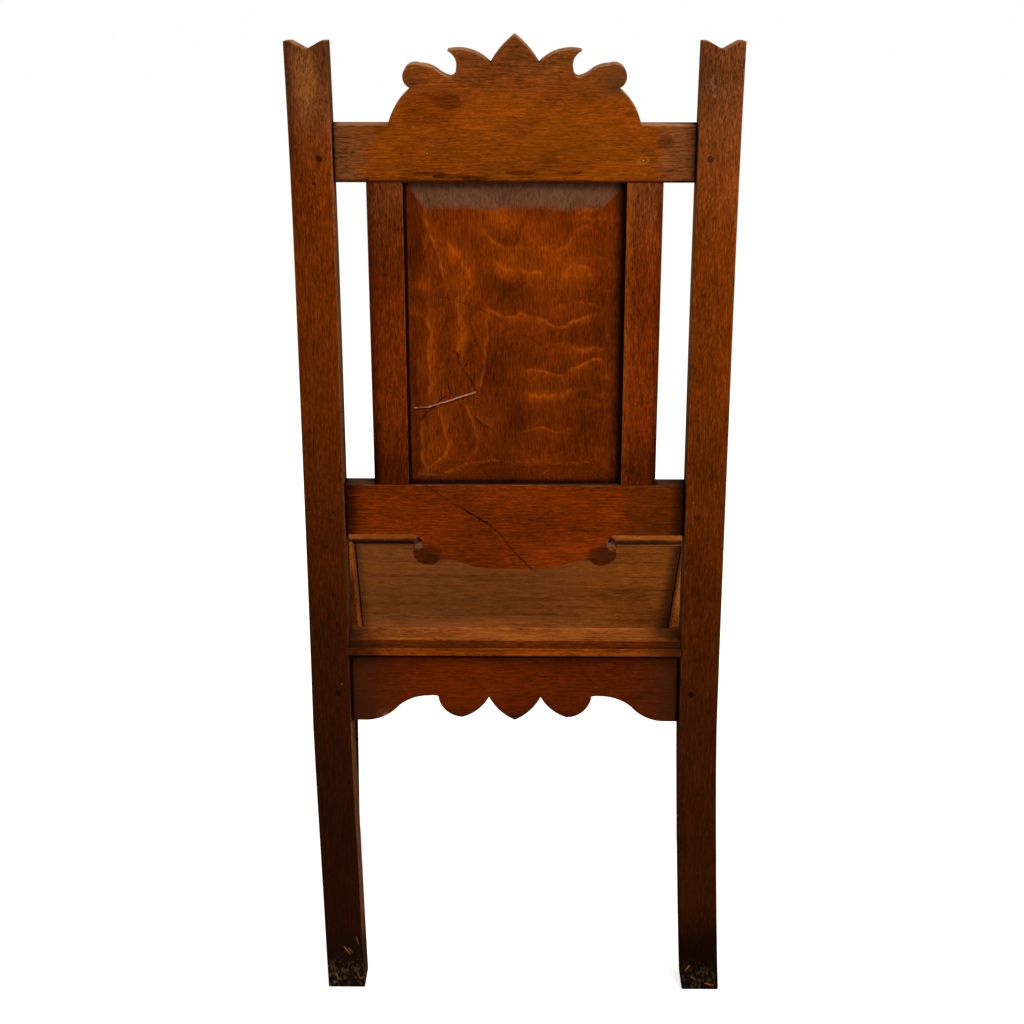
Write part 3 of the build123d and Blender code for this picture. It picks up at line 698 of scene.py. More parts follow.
# %% Finish the seat and its frame
def out_of_board(board):
    """How far a place lies outside the seat board's slanting side; below 0 it is on the board."""
    return board.x.size() - (board.y - board_rear) * board_flare - half_rear


def seat_frame_paint(board):
    """The recessed upper band of each edge is painted dark as shade, the tops paler as lit from above, with
    worn streaks, and the lowest edge black as shadow.
    """
    top = board.upward
    # Painted shade: the recessed upper band of each edge is darker
    band = board.z.inside(seat_top - step_height, seat_top - 0.6 * mm, 0.6 * mm) * (1 - top)
    darker(band * 0.45, (70, 34, 18))
    # The tops are painted paler: painted light from above, with worn streaks
    stain(board.grained((92, 42, 10), (170, 92, 34), 1.1), top * 0.85)
    # Painted shadow: the lowest edge is black, above the apron
    low = board.z.fall(frame_bottom + 0.5 * mm, frame_bottom + 1.9 * mm)
    stain(shade_and_grime, low * 0.92)


def rear_frame_paint(board):
    """As the others, with dirt by the posts, a worn inner arris and a worn strip along the lower edge."""
    seat_frame_paint(board)
    top, worn = board.upward, board.noise((board.x * 42, board.y * 60, 2), 3)
    arris = top * board.y.fall(board_rear + 9 * mm, board_rear + 15 * mm)
    stain((186, 102, 44), arris * worn.rise(0.46, 0.62) * 0.6)
    strip = board.z.inside(frame_bottom + 2 * mm, frame_bottom + 5 * mm, 1.5 * mm) * (1 - top)
    stain((166, 78, 10), strip * worn.rise(0.35, 0.6) * 0.45)
    darker(board.speckle(28, 150, 150).rise(0.62, 0.7) * 0.45)
    stain((30, 16, 8), near_ends(board, 58, 4, 40, 60) * 0.8)


def front_frame_paint(board):
    """As the others, with a dark band along the edge by the board, painted shade with dirt where hands and
    cloths do not reach.
    """
    seat_frame_paint(board)
    y = board.y.bent(16, 60)
    # The inner bevel by the board is painted a lighter brown, and its upper part black as painted shade
    bevel = board.facing_y.rise(0.4, 0.6) * board.facing_z.rise(0.3, 0.5)
    high = board.z.bent(1.5, 90).rise(seat_top - 3.8 * mm, seat_top - 2.8 * mm)
    stain((150, 92, 44), bevel * 0.7)
    # Painted shade with old dirt: a dark band on the top beside the board
    shade_and_dirt_by_board = board.upward * y.rise(board_front - 24 * mm, board_front - 4 * mm)
    stain((18, 10, 5), (shade_and_dirt_by_board | bevel * high) * 0.92)


def side_frame_paint(board):
    """As the others; painted shade by the left post and at the right inner edge, a painted highlight at the
    left inner arris.
    """
    seat_frame_paint(board)
    out, top, left = out_of_board(board), board.upward, board.on_left
    near_post = board.y.rise(-0.14, 0.0)
    # Painted shade: the left member's top darkens towards its post
    darker(top * left * near_post * out.rise(4 * mm, 9 * mm) * 0.85, (120, 96, 70))
    # Painted highlight: a bright line along the left member's inner arris
    stain((156, 88, 42), top * left * out.inside(1.6 * mm, 4 * mm, 1.5 * mm) * 0.8)
    # Painted shade: a dark line along the right member's inner edge
    right_edge = top * (1 - left) * out.fall(2 * mm, 7 * mm)
    stain((70, 32, 6), right_edge * 0.8)


def seat_paint(board):
    """Worn matt, darkened along the frame by painted shadow and dirt, and with fine scratches along and
    across the grain.
    """
    worn_place = blot(board, 20, 455, 190, 400, 8)
    stain((122, 70, 34), worn_place * 0.3)
    scratch = board.speckle(900, 28, 28, 1).rise(0.7, 0.78)
    stain((140, 88, 48), scratch * 0.4)
    sideways = board.x.bent(80, 9)
    stain((138, 84, 48), sideways.rise(0, 0.15) * 0.22)
    darker(sideways.fall(-0.16, -0.06) * 0.16)
    streaks = board.noise((board.x * 6, board.y * 52, 3), 3).rise(0.52, 0.66)
    darker(streaks * 0.34, (104, 72, 50))
    mottle = board.noise((board.x * 60, board.y * 110, 5), 3, 0.7)
    stain((150, 92, 50), mottle.rise(0.5, 0.72) * 0.34)
    darker(mottle.fall(0.3, 0.5) * 0.3, (104, 72, 50))
    # Painted shadow from the frame along both sides, deeper on the right, with dirt; a little along the front
    # edge too
    out, left = out_of_board(board).bent(7, 50), board.on_left
    frame_shadow_and_dirt = out.rise(-21 * mm, -2 * mm) * (1 - left) * 0.85 + out.rise(-12 * mm, -2 * mm) * left * 0.45
    frame_shadow_and_dirt = frame_shadow_and_dirt | (board.y - board_front).fall(1 * mm, 8 * mm) * 0.15
    stain((34, 18, 6), frame_shadow_and_dirt)
    board.relief = board.relief - scratch * (0.05 * mm)


print("seat and frame ready")

# %% [markdown]
# ## Posts, legs and stiles
# A post darkens towards the floor, partly as painted shade where less light falls and partly where mops and
# boots have soaked and scuffed it, and its top is greyed by dust with a painted sheen and painted pale as
# lit.
# The two posts aged apart: the left one is golden near its top and pierced by a nail, the right one is smoky,
# rubbed and scratched. Their inner faces are painted paler as light falls on them, the left one most.

# %% Finish the posts, the pegs and the stiles
def peg_paint(board):
    """The pegs at the aprons are dark like the legs round them, with dirt and painted shade low down."""
    stain((15, 9, 5), board.z.fall(0.45, 0.55) * 0.8)


full_light = 0.95
hole_rim = (120, 74, 40)
left_scratches = [
    # width, bend, tone, strength, depth, then across and up of each place
    (1.0, 2, (156, 100, 42), 0.8, 0.1, 214, 54, 207, 45),
    (0.9, 2, (140, 84, 34), 0.7, 0.1, 199, 68, 196, 58),
    (0.8, 2, (150, 96, 42), 0.7, 0.1, 209, 52, 204, 47),
    (1.2, 2, (130, 98, 56), 0.7, 0.1, 226, 22, 222, 11),
]
right_scratches = [
    (1.5, 6, (170, 92, 40), 0.6, 0.1, -250, 6, -241, 8),
    (1.4, 4, (140, 92, 44), 0.7, 0.1, -219, 32, -215, 25),
    (1.2, 4, (130, 84, 40), 0.7, 0.1, -222, 17, -228, 13),
]


def post_paint(board, least=0.105, dark_from=0.28, inner=0, spared=0.0, fade=1.45):
    """Dust with a painted sheen at the top, darker and darker towards the floor, with dirty, scuffed feet.

    Inner is the direction of its inner face, -1 or 1, which is painted paler and greyer as light falls on it.
    Spared is how much of the darkening that face is spared below the apron. The darkening is painted shade
    with old dirt: the light falls as a power, fade, of the height above dark_from.
    """
    z = board.z.bent(30)
    # Painted light: the inner face is painted a paler, greyer tone
    inside = (board.facing_x * inner).rise(0.7, 0.9)
    stain(board.grained((62, 34, 18), (150, 104, 68), 1.2), inside * 0.7)
    # Painted shade with old dirt: darker towards the floor as the light falls off
    lit = board.node("MapRange", {"Value": z, "From Min": dark_from, "From Max": full_light}) ** fade
    spared = inside * z.fall(0.34, 0.4) * spared
    stain((20, 9, 4), (1 - lit) * (1 - least) * (1 - spared))
    dust_and_sheen(z.rise(1.0, 1.13), 0.65)
    top_light_and_dust(board)
    stain((20, 13, 7), z.bent(50, 60).fall(0.03, 0.1) * 0.75)
    scuffs = z.fall(-0.01, 0.05) * board.speckle(60, 60, 60).rise(0.3, 0.55)
    scuffs = scuffs * board.speckle(380, 380, 200, 3).rise(0.5, 0.6)
    stain((112, 88, 56), scuffs * 0.8)
    board.relief = board.relief + scuffs * (0.2 * mm)


def left_post_paint(board):
    """Golden and worn at its top, with grey specks on the outer edge, a nail, and scratches at its foot."""
    # The left inner face is spared most of the painted shade below the apron: painted light on it
    post_paint(board, 0.1, 0.2, -1, 0.6, 1.65)
    top = (board.facing_x * -1).rise(0.7, 0.9) * board.z.bent(20).rise(1.06, 1.1)
    darker(top * 0.4)
    back = board.facing_y.rise(0.3, 0.7)
    edge = board.x.bent(8).rise(231 * mm, 243 * mm) * board.z.inside(1.05, 1.2, 0.04)
    edge = edge | blot(board, 206, 1146, 16, 44, 40) * 0.8
    darker(edge * back * 0.45, (92, 72, 66))
    warm = spot(board, 224, 1124, 24, 70) + ragged(board, 0.5, 60)
    golden = board.grained((104, 52, 16), (178, 108, 46), 1.1)
    stain(golden, warm.rise(0.1, 0.9) * back * 0.5)
    specks = board.speckle(900, 900, 900, 1).rise(0.7, 0.76)
    stain((150, 128, 112), specks * edge * back * 0.5)
    nail = spot(board, 220, 1008, 2.6, 2.6).rise(0.1, 0.6)
    stain((16, 10, 8), nail * 0.9)
    stain(hole_rim, spot(board, 209, 405, 2.5, 2).rise(0, 0.6) * 0.5)
    board.relief = board.relief - nail * (0.8 * mm)
    scored(board, left_scratches)


def right_post_paint(board):
    """Smoky and rubbed at its top, darkest at its foot, with a few scratches there."""
    post_paint(board, 0.145, 0.2, 1)
    darker(board.z.bent(40, 30).fall(0.06, 0.15) * 0.5)
    dust_and_sheen(board.z.inside(0.99, 1.05, 0.06), 0.22)
    smoky = (spot(board, -206, 1118, 30, 66) + ragged(board, 0.5, 60)).rise(0.1, 0.8)
    darker(smoky * board.facing_y.rise(0.3, 0.7) * 0.38, (84, 70, 62))
    rubs = board.speckle(420, 420, 200).rise(0.5, 0.75) * spot(board, -214, 1113, 14, 18).rise(0.1, 0.5)
    stain((156, 124, 96), rubs * 0.5)
    stain(hole_rim, spot(board, -208, 638, 2.5, 2).rise(0, 0.6) * 0.6)
    scored(board, right_scratches)


def stile_paint(board):
    """A stile darkens at its feet and towards its outer edge, and the left one is darker all over."""
    x, feet = board.x, board.z.bent(30).fall(0.665, 0.75)
    outer = near_ends(board, 12, 0, 8, end=stile_outer)
    left = board.on_left
    dust_and_sheen(board.z.rise(0.9, 1.01), 0.4)
    darker(outer * 0.4 + feet * 0.4 + left * 0.2)
    lit = x.rise(-stile_inner - 11 * mm, -stile_inner - 3 * mm) * (1 - left) * (board.tone + 0.6)
    stain((164, 80, 18), lit * (board.z.rise(0.72, 0.95) * 0.3 + 0.25))


print("posts and stiles ready")

# %% [markdown]
# ## A finish for each kind of piece
# No two boards of a tree are alike, so each kind of piece has its own seed, which moves its grain to another
# part of the noise, its own middle tone and its own paint. Grain runs along x in the rails, along y in the
# side pieces and along z in the posts, as a joiner would lay it: wood is strong only that way.

# %% Mix the finishes
materials = {
    # the finish's name, direction of the grain, seed, middle tone, spread of the tones, paint
    "crest_rail": oak("crest_oak", "x", 1, (121, 55, 6), 0.3, crest_paint),
    "lower_back_rail": oak("rail_oak", "x", 2, (106, 39, 3), 0.34, lower_rail_paint),
    "rear_apron": oak("apron_oak", "x", 3, (90, 31, 3), 0.28, apron_paint),
    "front_apron": oak("front_apron_oak", "x", 4, (100, 37, 3), 0.32, front_apron_paint),
    "seat_frame_rear": oak("frame_oak", "x", 5, (118, 50, 6), 0.36, rear_frame_paint, corners=0.45),
    "seat_frame_front": oak("front_frame_oak", "x", 18, (116, 49, 6), 0.36, front_frame_paint),
    "seat_frame_side": oak("side_frame_oak", "y", 8, (116, 54, 12), 0.3, side_frame_paint),
    "seat_board": oak("seat_oak", "x", 6, (116, 59, 16), 0.28, seat_paint, rough=0.7, wave=16 * mm),
    "side_apron": oak("side_apron_oak", "y", 9, (88, 31, 3)),
    "back_stile": oak("stile_oak", "z", 10, (106, 40, 4), 0.36, stile_paint),
    "rear_post_left": oak("left_post_oak", "z", 11, (106, 43, 4), 0.32, left_post_paint),
    "rear_post_right": oak("right_post_oak", "z", 12, (118, 50, 5), 0.32, right_post_paint),
    "front_leg": oak("leg_oak", "z", 13, (106, 43, 4), 0.34, post_paint),
    "pine": oak("pine", "x", 14, (176, 128, 74), 0.2, rough=0.75, wear=(186, 140, 90)),
    "peg": oak("peg_end", "y", 15, (66, 29, 7), 0.5, peg_paint),
}
print(len(materials), "finishes")

# %% Ease and finish the boards
eases = {
    # node: its finish and how much its arrises are eased, in mm
    "crest_rail": ("crest_rail", 0.8), "lower_back_rail": ("lower_back_rail", 0.8),
    "rear_apron": ("rear_apron", 0.8), "front_apron": ("front_apron", 0.8),
    "seat_frame_rear": ("seat_frame_rear", 0.7), "seat_frame_front": ("seat_frame_front", 0.9),
    "seat_board": ("seat_board", 0.8), "seat_ledge_front": ("pine", 0.6), "seat_ledge_rear": ("pine", 0.6),
}
for side in ("left", "right"):
    for node in ("corner_block_front_", "corner_block_rear_", "seat_ledge_"):
        eases[node + side] = ("pine", 0.6)
    eases["seat_frame_" + side] = ("seat_frame_side", 0.8)
    eases["side_apron_" + side] = ("side_apron", 0.8)
    eases["back_stile_" + side] = ("back_stile", 0.7)
    eases["rear_post_" + side] = ("rear_post_" + side, 1.1)
    eases["front_leg_" + side] = ("front_leg", 1.1)
foot_ease = 1.6 * mm
for node, (finish, ease) in eases.items():
    piece = eased(node, ease * mm, foot_ease)
    settle(piece, node, materials[finish])
    print(piece.name, len(piece.data.polygons), "faces")

# %% [markdown]
# ## The back panel
# The panel is one board of quarter-sawn oak. Cut so, oak shows its rays as flecks: thin bright ribbons that
# wander across the grain, with amber patches beside them. Behind, the panel is fielded: a flat middle, and
# four bevels planed by hand down to the thin edge that sits in the grooves. In front it is carved.
# One surface holds it all. The back and the front are both heights over the same grid of places on the board,
# so the carving and the bevels are sums, and each place also keeps numbers for the figure.

# %% The panel's own axes
panel_mesh = frame["nodes"]["back_panel"].data
normals = np.zeros((len(panel_mesh.polygons), 3))
panel_mesh.polygons.foreach_get("normal", normals.reshape(-1))
front_out = normals[normals[:, 1] < -0.9].mean(0)
lean_cos, lean_sin = -front_out[1], front_out[2]
corners = np.zeros((len(panel_mesh.vertices), 3))
panel_mesh.vertices.foreach_get("co", corners.reshape(-1))
deep = corners[:, 1] * lean_cos - corners[:, 2] * lean_sin
up = corners[:, 1] * lean_sin + corners[:, 2] * lean_cos
x_low, x_high = corners[:, 0].min(), corners[:, 0].max()
up_low, up_high = up.min(), up.max()
front_deep, rear_deep = deep.min(), deep.max()
print("the panel is", round(x_high - x_low, 4), "by", round(up_high - up_low, 4), "m")

# %% Heights over the panel's grid
grid_step = 1.4 * mm
tongue = 5.5 * mm
foot_in, foot_low, foot_high = 12 * mm, up_low + 14.5 * mm, up_high - 12.5 * mm
left_bevel, right_bevel, end_bevel = 17 * mm, 26 * mm, 26 * mm
planed_off, hollow_depth = 0.4 * mm, 0.25 * mm
columns = round((x_high - x_low) / grid_step) + 1
rows = round((up_high - up_low) / grid_step) + 1
across, along = np.meshgrid(np.linspace(x_low, x_high, columns), np.linspace(up_low, up_high, rows))
centre, middle = (x_low + x_high) / 2, (up_low + up_high) / 2
half_width, half_height = (x_high - x_low) / 2, (up_high - up_low) / 2


def waves(values, seed, count=5, longest=0.3):
    """A smooth unevenness between about -1 and 1 along a line: sines of shorter and shorter length."""
    random = np.random.default_rng(seed)
    steps = np.arange(1, count + 1)[:, None, None]
    turns = random.uniform(0, 2 * pi, count)[:, None, None]
    return (np.sin(values * 2 * pi * steps * 1.37 / longest + turns) / steps).sum(0) / 1.8


def bevel_shares():
    """How far up each bevel the panel's back is, from 0 at its foot to 1 at the field: sides, then ends.

    It is the way in from the bevel's foot over its width, which waves a little, as a hand plane leaves it.
    """
    uneven = 1 + 0.05 * waves(along, 3)
    left = (x_high - foot_in - across) / (left_bevel * uneven)
    right = (across - x_low - foot_in) / (right_bevel * uneven)
    end_width = end_bevel * (1 + 0.09 * waves(across, 4, longest=0.12))
    ends = np.minimum(along - foot_low, foot_high - along) / end_width
    return np.minimum(left, right), ends


side_share, end_share = bevel_shares()
field = np.clip(np.minimum(side_share, end_share), 0, 1)
hollow = hollow_depth * waves(across, 7, longest=0.2) * waves(along, 8) * (field == 1)
rear = front_deep + tongue + field * (rear_deep - front_deep - tongue - planed_off) + hollow
print("grid of", rows, "by", columns, "places")

# %% [markdown]
# ## The carved front
# A chair of this kind shows its carving to the room, so the front of the panel carries it, cut inwards with
# gouges. The pattern is the oldest one that a pair of compasses gives: six petals, each the overlap of two
# equal circles, in a double ring, with a fan in each corner. The photo shows only the back, so this side is
# a guess in the same spirit. All cuts are depths over the same grid, and the deepest cut counts.

# %% Depths of the carving
rosette_radius = 84 * mm
outer_ring, inner_ring = (97 * mm, 5 * mm), (89 * mm, 4 * mm)
petal_gap, petal_slope, ground_gap = 1.2 * mm, 10 * mm, 2 * mm
carving_depth = 3.2 * mm
fan_in, fan_heart, fan_reach = 19 * mm, 12 * mm, 60 * mm


def scoop(inside, width):
    """A gouge cut's depth from the way in from its edge: it falls fast, then flattens to 1."""
    return np.sin(np.clip(inside / width, 0, 1) * pi / 2)


def groove(distance, radius, width):
    """A round-bottomed groove along a circle."""
    return scoop(width / 2 - abs(distance - radius), width / 2)


def rosette():
    """Six petals cut to a valley, the ground between them sunk, and two rings.

    Every arc has the same radius, and its middle on the rim. A petal lies inside two of them, a sixth of a
    turn to either side, and its depth is the way in from the nearer. The ground lies outside two others.
    """
    x, z = across - centre, along - middle
    far = np.hypot(x, z)
    depth = np.maximum(groove(far, *outer_ring), groove(far, *inner_ring))
    way = [rosette_radius - np.hypot(x - rosette_radius * cos(turn), z - rosette_radius * sin(turn))
           for turn in np.arange(6) * pi / 3]
    for k in range(6):
        petal = np.minimum(way[k - 1], way[(k + 1) % 6]) - petal_gap
        ground = np.minimum(np.minimum(-way[k - 1], -way[(k + 2) % 6]), rosette_radius - far) - ground_gap
        depth = np.maximum(depth, np.clip(petal / petal_slope, 0, 1))
        depth = np.maximum(depth, 0.62 * scoop(ground, 3 * mm))
    return depth


def corner_fans():
    """A quarter fan of scooped rays in each corner, drawn once in the quarter that all four fold onto."""
    x, z = half_width - fan_in - abs(across - centre), half_height - fan_in - abs(along - middle)
    far, angle = np.hypot(x, z), np.arctan2(z, x)
    rays = scoop(abs(np.sin(angle * 10)) - 0.18, 0.6)
    fan = rays * scoop(np.minimum(fan_reach - far, far - fan_heart), 6 * mm)
    return np.maximum(fan, groove(far, fan_reach + 5 * mm, 4 * mm)) * (x > 0) * (z > 0)


edge_way = np.minimum(half_width - fan_in + 4 * mm - abs(across - centre),
                      half_height - fan_in + 4 * mm - abs(along - middle))
border = scoop(2 * mm - abs(edge_way), 2 * mm)
cut = np.maximum(np.maximum(rosette(), corner_fans()), border)
front = front_deep + carving_depth * cut
print("cut", round((front.max() - front_deep) / mm, 1), "mm deep")

# %% [markdown]
# ## The figure of the panel
# The flecks are drawn as a maker of marquetry would: a few wandering lines and patches, given in
# millimetres across the panel from the chair's middle and up from the lower rail. Each line becomes a ribbon:
# bright at its edge, with a soft amber shadow on one side of it.

# %% The ribbons and the patches
ribbons = [
    # strength, width, then across and up of each place in turn
    (0.5, 1.6, 101, 386, 103, 364, 102, 342, 104, 319, 106, 307),
    (0.9, 1.6, 99, 372, 92, 357, 86, 334, 80, 307),
    (0.9, 2.2, 75, 351, 65, 336, 54, 319, 49, 303, 52, 291, 65, 288),
    (0.7, 2.2, 65, 288, 64, 269, 62, 249, 64, 226),
    (0.9, 2.0, 112, 265, 102, 263, 96, 249, 98, 222, 97, 198, 99, 174),
    (0.6, 2.0, 110, 214, 112, 190, 111, 170),
    (0.9, 1.8, 29, 271, 32, 257, 32, 230, 35, 206, 40, 183),
    (0.8, 1.6, 88, 154, 84, 134, 78, 114, 80, 97, 103, 82),
    (1.0, 2.2, 110, 136, 108, 114, 106, 89),
    (0.8, 1.6, 55, 162, 50, 142, 45, 122, 46, 106, 55, 91, 83, 74),
    (0.7, 1.6, 42, 146, 31, 134, 27, 122, 31, 106),
    (1.0, 2.2, 29, 271, 13, 265, -6, 269, -25, 263, -44, 254, -53, 254, -66, 260, -85, 267),
    (0.9, 2.2, -17, 203, -33, 199, -52, 197, -67, 205, -82, 211, -97, 215),
    (0.9, 2.6, -67, 230, -82, 226, -94, 228),
    (1.0, 3.4, -14, 175, -29, 169, -48, 173, -60, 179),
    (0.6, 2.0, -10, 130, -29, 132, -48, 128, -61, 133),
    (0.8, 2.4, 32, 363, 24, 350, 9, 344, -6, 349, -10, 364),
    (1.0, 3.4, 20, 327, 12, 320, -2, 321, -13, 317, -28, 315),
    (0.8, 2.4, -28, 344, -43, 340, -58, 347, -65, 356),
    (1.0, 2.2, -52, 317, -66, 326, -81, 322),
    (0.8, 2.0, -53, 315, -69, 312, -84, 314),
    (0.8, 2.0, -69, 384, -80, 388, -94, 385),
    (0.8, 2.0, -69, 376, -78, 379, -87, 374, -94, 377),
    (0.8, 2.0, -68, 364, -77, 370, -87, 365),
    (0.6, 2.0, -51, 280, -74, 283, -93, 277),
    (0.5, 1.8, 79, 74, 52, 89, 13, 92, -37, 89, -88, 90),
]
patches = [
    # strength, place across and up, reach across and up; below 0 it is dark
    (1.0, 105, 300, 11, 9), (0.9, 70, 340, 9, 12), (0.6, 58, 310, 12, 22), (1.1, 14, 378, 22, 16),
    (0.6, 8, 325, 22, 16), (0.3, -80, 375, 14, 22), (0.5, 62, 240, 8, 26), (0.4, -66, 319, 22, 12),
    (0.5, -35, 172, 26, 8), (0.35, 60, 250, 10, 40), (0.35, 100, 220, 14, 60), (0.3, 90, 110, 22, 40),
    (0.3, -45, 330, 60, 40), (-0.45, -72, 370, 30, 26), (-0.4, 20, 110, 70, 36),
    (-0.9, -2, 150, 20, 28), (-0.5, -57, 248, 30, 12), (-0.4, 9, 296, 30, 16), (-0.5, -75, 130, 40, 50),
    (-0.5, 30, 200, 30, 40), (-0.3, -95, 300, 14, 120),
]
print(len(ribbons), "ribbons and", len(patches), "patches")

# %% The figure as numbers on the grid
figure_drop = 53.5 * mm
figure_start = up_low - figure_drop


def way_to(places, x, z):
    """Distance from each place of the grid to a line through places, and which side of it the place lies."""
    nearest, side = np.full(x.shape, np.inf), np.zeros(x.shape)
    for (ax, az), (bx, bz) in zip(places, places[1:]):
        dx, dz = (bx - ax) * mm, (bz - az) * mm
        from_x, from_z = x - ax * mm, z - az * mm
        share = np.clip((from_x * dx + from_z * dz) / (dx * dx + dz * dz), 0, 1)
        away = np.hypot(from_x - share * dx, from_z - share * dz)
        side = np.where(away < nearest, np.sign(from_x * dz - from_z * dx), side)
        nearest = np.minimum(nearest, away)
    return nearest, side


def figure():
    """Bright ribbons and amber or dark patches, as two numbers for each place of the grid."""
    wander = 2.2 * mm
    x = across + wander * waves(along, 11, 6, 0.09) * 0.8
    z = along - figure_start + wander * waves(across, 12, 6, 0.08)
    bright, amber = np.zeros(x.shape), np.zeros(x.shape)
    for strength, width, *numbers in ribbons:
        places = pairs(numbers)
        away, side = way_to(places, x, z)
        turn_to = -1 if places[0][0] < 40 else 1
        uneven = 0.75 + 0.35 * waves(x + z, round(places[0][0]) % 97, 4, 0.05)
        bright = np.maximum(bright, strength * uneven * np.exp(-(away / (width * 0.6 * mm)) ** 2))
        amber = np.maximum(amber, strength * 0.75 * uneven * np.exp(-away / (9 * mm)) * (side * turn_to > 0))
    for strength, px, pz, reach_x, reach_z in patches:
        far = np.hypot((x - px * mm) / (reach_x * mm), (z - pz * mm) / (reach_z * mm))
        amber = amber + strength * 0.8 * np.exp(-far ** 2 * 1.4)
    return np.clip(bright, 0, 1), np.clip(amber, -1, 1)


ribbon, amber = figure()
print("the figure covers", round(100 * (ribbon > 0.5).mean()), "% of the panel with ribbons")

# %% Close the panel's surface
def slab(back, face):
    """A closed slab over the grid, from the depths of its back and its face, facing outward everywhere."""
    points = [np.stack((across, deep * lean_cos + along * lean_sin, along * lean_cos - deep * lean_sin), -1)
              for deep in (back, face)]
    place = np.arange(rows * columns).reshape(rows, columns)
    here, right, above, beyond = place[:-1, :-1], place[:-1, 1:], place[1:, :-1], place[1:, 1:]
    behind = np.stack((here, above, beyond, right), -1).reshape(-1, 4)
    before = np.stack((here, right, beyond, above), -1).reshape(-1, 4) + place.size
    rim = np.concatenate((place[0, :-1], place[:-1, -1], place[-1, :0:-1], place[:0:-1, 0]))
    after = np.roll(rim, -1)
    edge = np.stack((rim, after, after + place.size, rim + place.size), -1)
    mesh = bpy.data.meshes.new("back_panel_carved")
    faces = np.concatenate((behind, before, edge)).tolist()
    mesh.from_pydata(np.concatenate(points).reshape(-1, 3).tolist(), [], faces)
    mesh.shade_smooth()
    mesh.set_sharp_from_angle(angle=smooth_angle)
    return mesh


def keep(mesh, name, of_back, of_front):
    """Keeps a number for each place of the back and the front in the mesh."""
    both = np.stack(np.broadcast_arrays(of_back, of_front)).reshape(-1)
    mesh.attributes.new(name, "FLOAT", "POINT").data.foreach_set("value", both.astype(np.float32))


panel = stand("back_panel_carved", slab(rear, front))
top_sheen = np.clip((1 - end_share) * 4, 0, 1) * (end_share < side_share) * (along > middle)
for name, values in (("ribbon", ribbon), ("amber", amber), ("sheen", top_sheen)):
    keep(panel.data, name, values, 0)
keep(panel.data, "cut", 0, cut)
print("the panel has", len(panel.data.polygons), "faces")

# %% Stain the panel
panel_foot = 592.5
panel_cracks = [
    # width, bend, tone, strength, depth, then across and up the panel of each place
    (1.3, 3, (30, 10, 3), 0.9, 0.6, 70, 225, 65, 222, 64, 211, 59, 202, 49, 188, 46, 178),
    (1.2, 3, (30, 10, 3), 0.8, 0.5, 59, 202, 55, 210),
    (1.3, 3, (34, 12, 3), 0.85, 0.5, 77, 190, 75, 174, 84, 168, 102, 150, 109, 141),
    (1.2, 3, (30, 10, 3), 0.8, 0.5, 46, 146, 38, 136, 31, 134, 25, 129),
    # A scratch: the next row is its pale line of scratched varnish, and this dark line just under it a
    # painted shadow
    (1.2, 2, (26, 10, 4), 0.8, 0.5, 116, 153, 96, 157, 71, 165, 46, 173),
    (1.1, 2, (200, 140, 120), 0.85, 0.2, 116, 155, 96, 159, 71, 167, 45, 176),
    (0.9, 2, (60, 22, 4), 0.5, 0.2, 94, 291, 62, 282, 43, 275, 24, 266, 5, 254, -21, 238, -46, 219),
    (1.6, 2, (120, 84, 60), 0.5, 0.1, 112, 75, 92, 73),
    (1.0, 2, (150, 90, 50), 0.5, 0.1, -30, 74, -42, 82),
]


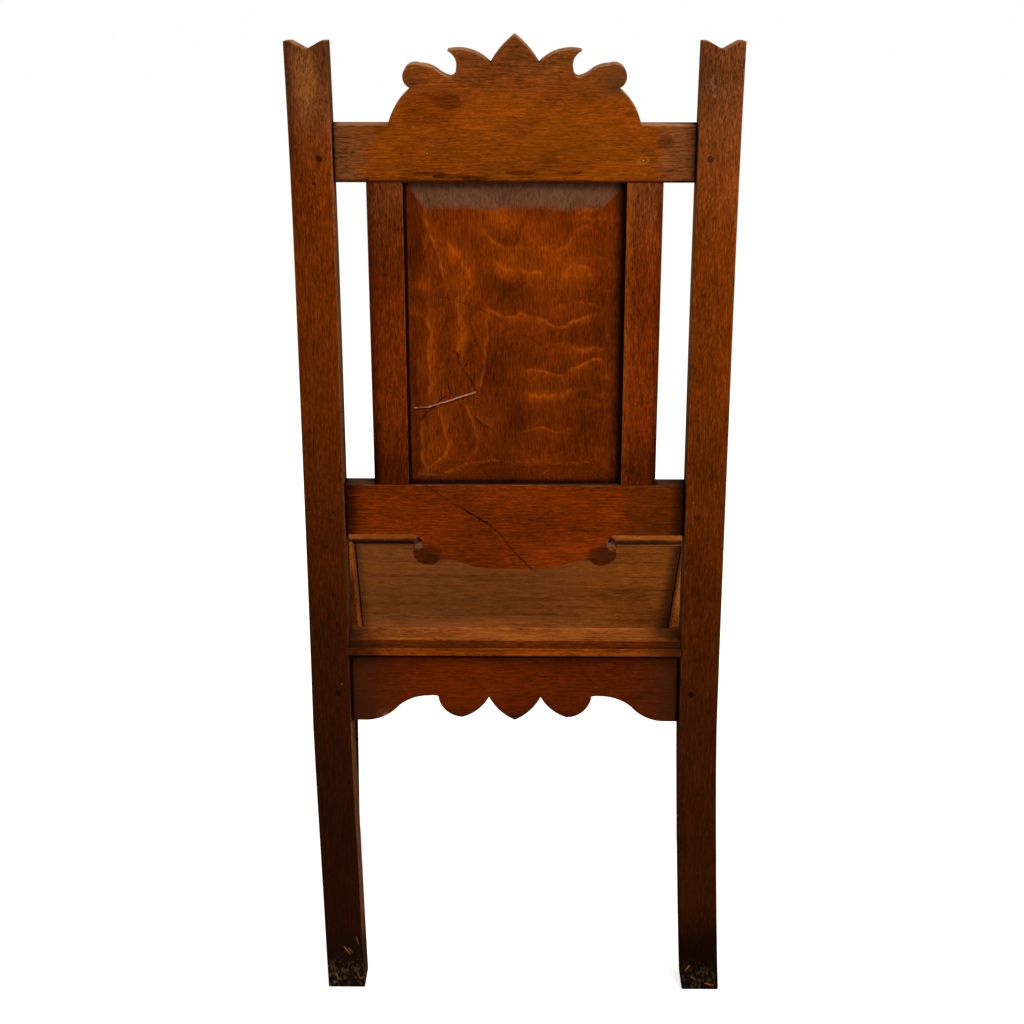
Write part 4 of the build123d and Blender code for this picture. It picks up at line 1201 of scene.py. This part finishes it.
def panel_paint(board):
    """Amber ribbons and bands, a greyer sheen on the top bevel, black margins of dirt and painted shade,
    cracks and scratches.
    """
    x, z, amber = board.x, board.z, board.attribute("amber")
    broken = board.dashes.rise(0.25, 0.7) * 0.6 + board.streaks.rise(0.25, 0.7) * 0.6
    bands = board.noise((x * 16, 7, z.bent(14, 18) * 70), 3).rise(0.52, 0.72)
    bands = bands * x.bent(60).fall(-0.02, 0.06)
    stain((156, 66, 4), ((amber | 0) * 1.2 + bands * 0.35) * broken)
    darker(amber.math("MINIMUM", 0) * -0.75, (70, 40, 28))
    worn_ribbon = board.attribute("ribbon") * (ragged(board, 2.0, 70) + 0.5).rise(0, 0.8)
    stain((176, 78, 6), worn_ribbon * (broken + 0.12))
    cut = board.attribute("cut")
    darker(cut.rise(0.1, 0.9) * 0.6, (70, 38, 24))
    stain((166, 86, 22), cut.inside(0.06, 0.14, 0.05) * board.clouds * 0.5)
    sheen = board.grained((76, 50, 34), (110, 75, 53), 0.9, 0.44)
    stain(sheen, board.attribute("sheen") * (board.clouds * 0.5 + 0.55))
    # Painted shade with dirt: black margins in the grooves and along the rail, and a wider painted shadow
    # from the right stile
    bent = x.bent(3, 60)
    sides = bent.rise(stile_inner - 4.5 * mm, stile_inner - 2.5 * mm)
    far_side = (bent * -1).bent(8).rise(stile_inner - 20 * mm, stile_inner - 1 * mm)
    far_side = far_side * board.behind
    low = z.bent(3, 60).fall(rail_top + 1 * mm, rail_top + 5 * mm)
    stain(joint_black, (sides | far_side | low * 0.7) * 0.9)
    for row in panel_cracks:
        upright = [(x, panel_foot + up_panel * lean_cos) for x, up_panel in pairs(row[5:])]
        scored(board, [(*row[:5], *sum(upright, ()))])


settle(panel, "back_panel", oak("panel_oak", "z", 7, (98, 37, 3), 0.28, panel_paint, wave=9 * mm))
print("panel stained")

# %% [markdown]
# ## Pegs, blocks and screws
# The pegs show their end grain: dark, because it drinks stain. The screws under the seat are dull steel.
# Both keep the model's own shapes; only their finish is set. The ledges and corner blocks that the screws
# hold were finished above with the boards: bare pine that never saw varnish.

# %% Finish the small pieces
def dull_steel():
    """Steel gone grey-brown: its colour and roughness follow the same clouds."""
    graph = Graph(bpy.data.materials.new("dull_steel"))
    place = graph.split(graph.node("TexCoord", output="Object"))
    clouds = graph.noise([axis * 300 for axis in place], 4)
    colour = graph.blend((120, 116, 110), (86, 62, 44), clouds.rise(0.45, 0.65))
    metal, roughness = clouds * -0.6 + 1, clouds * 0.5 + 0.2
    shader = graph.node("BsdfPrincipled", {"Base Color": colour, "Metallic": metal, "Roughness": roughness})
    return graph.end(shader)


materials["steel"] = dull_steel()
finishes = {"oak_pegs": "peg", "steel_screws": "steel"}
small = [node for node in frame["nodes"] if slots[node] in finishes]
for node in small:
    data = frame["nodes"][node].data
    data.materials.clear()
    data.materials.append(materials[finishes[slots[node]]])
print(len(small), "kinds of small piece")
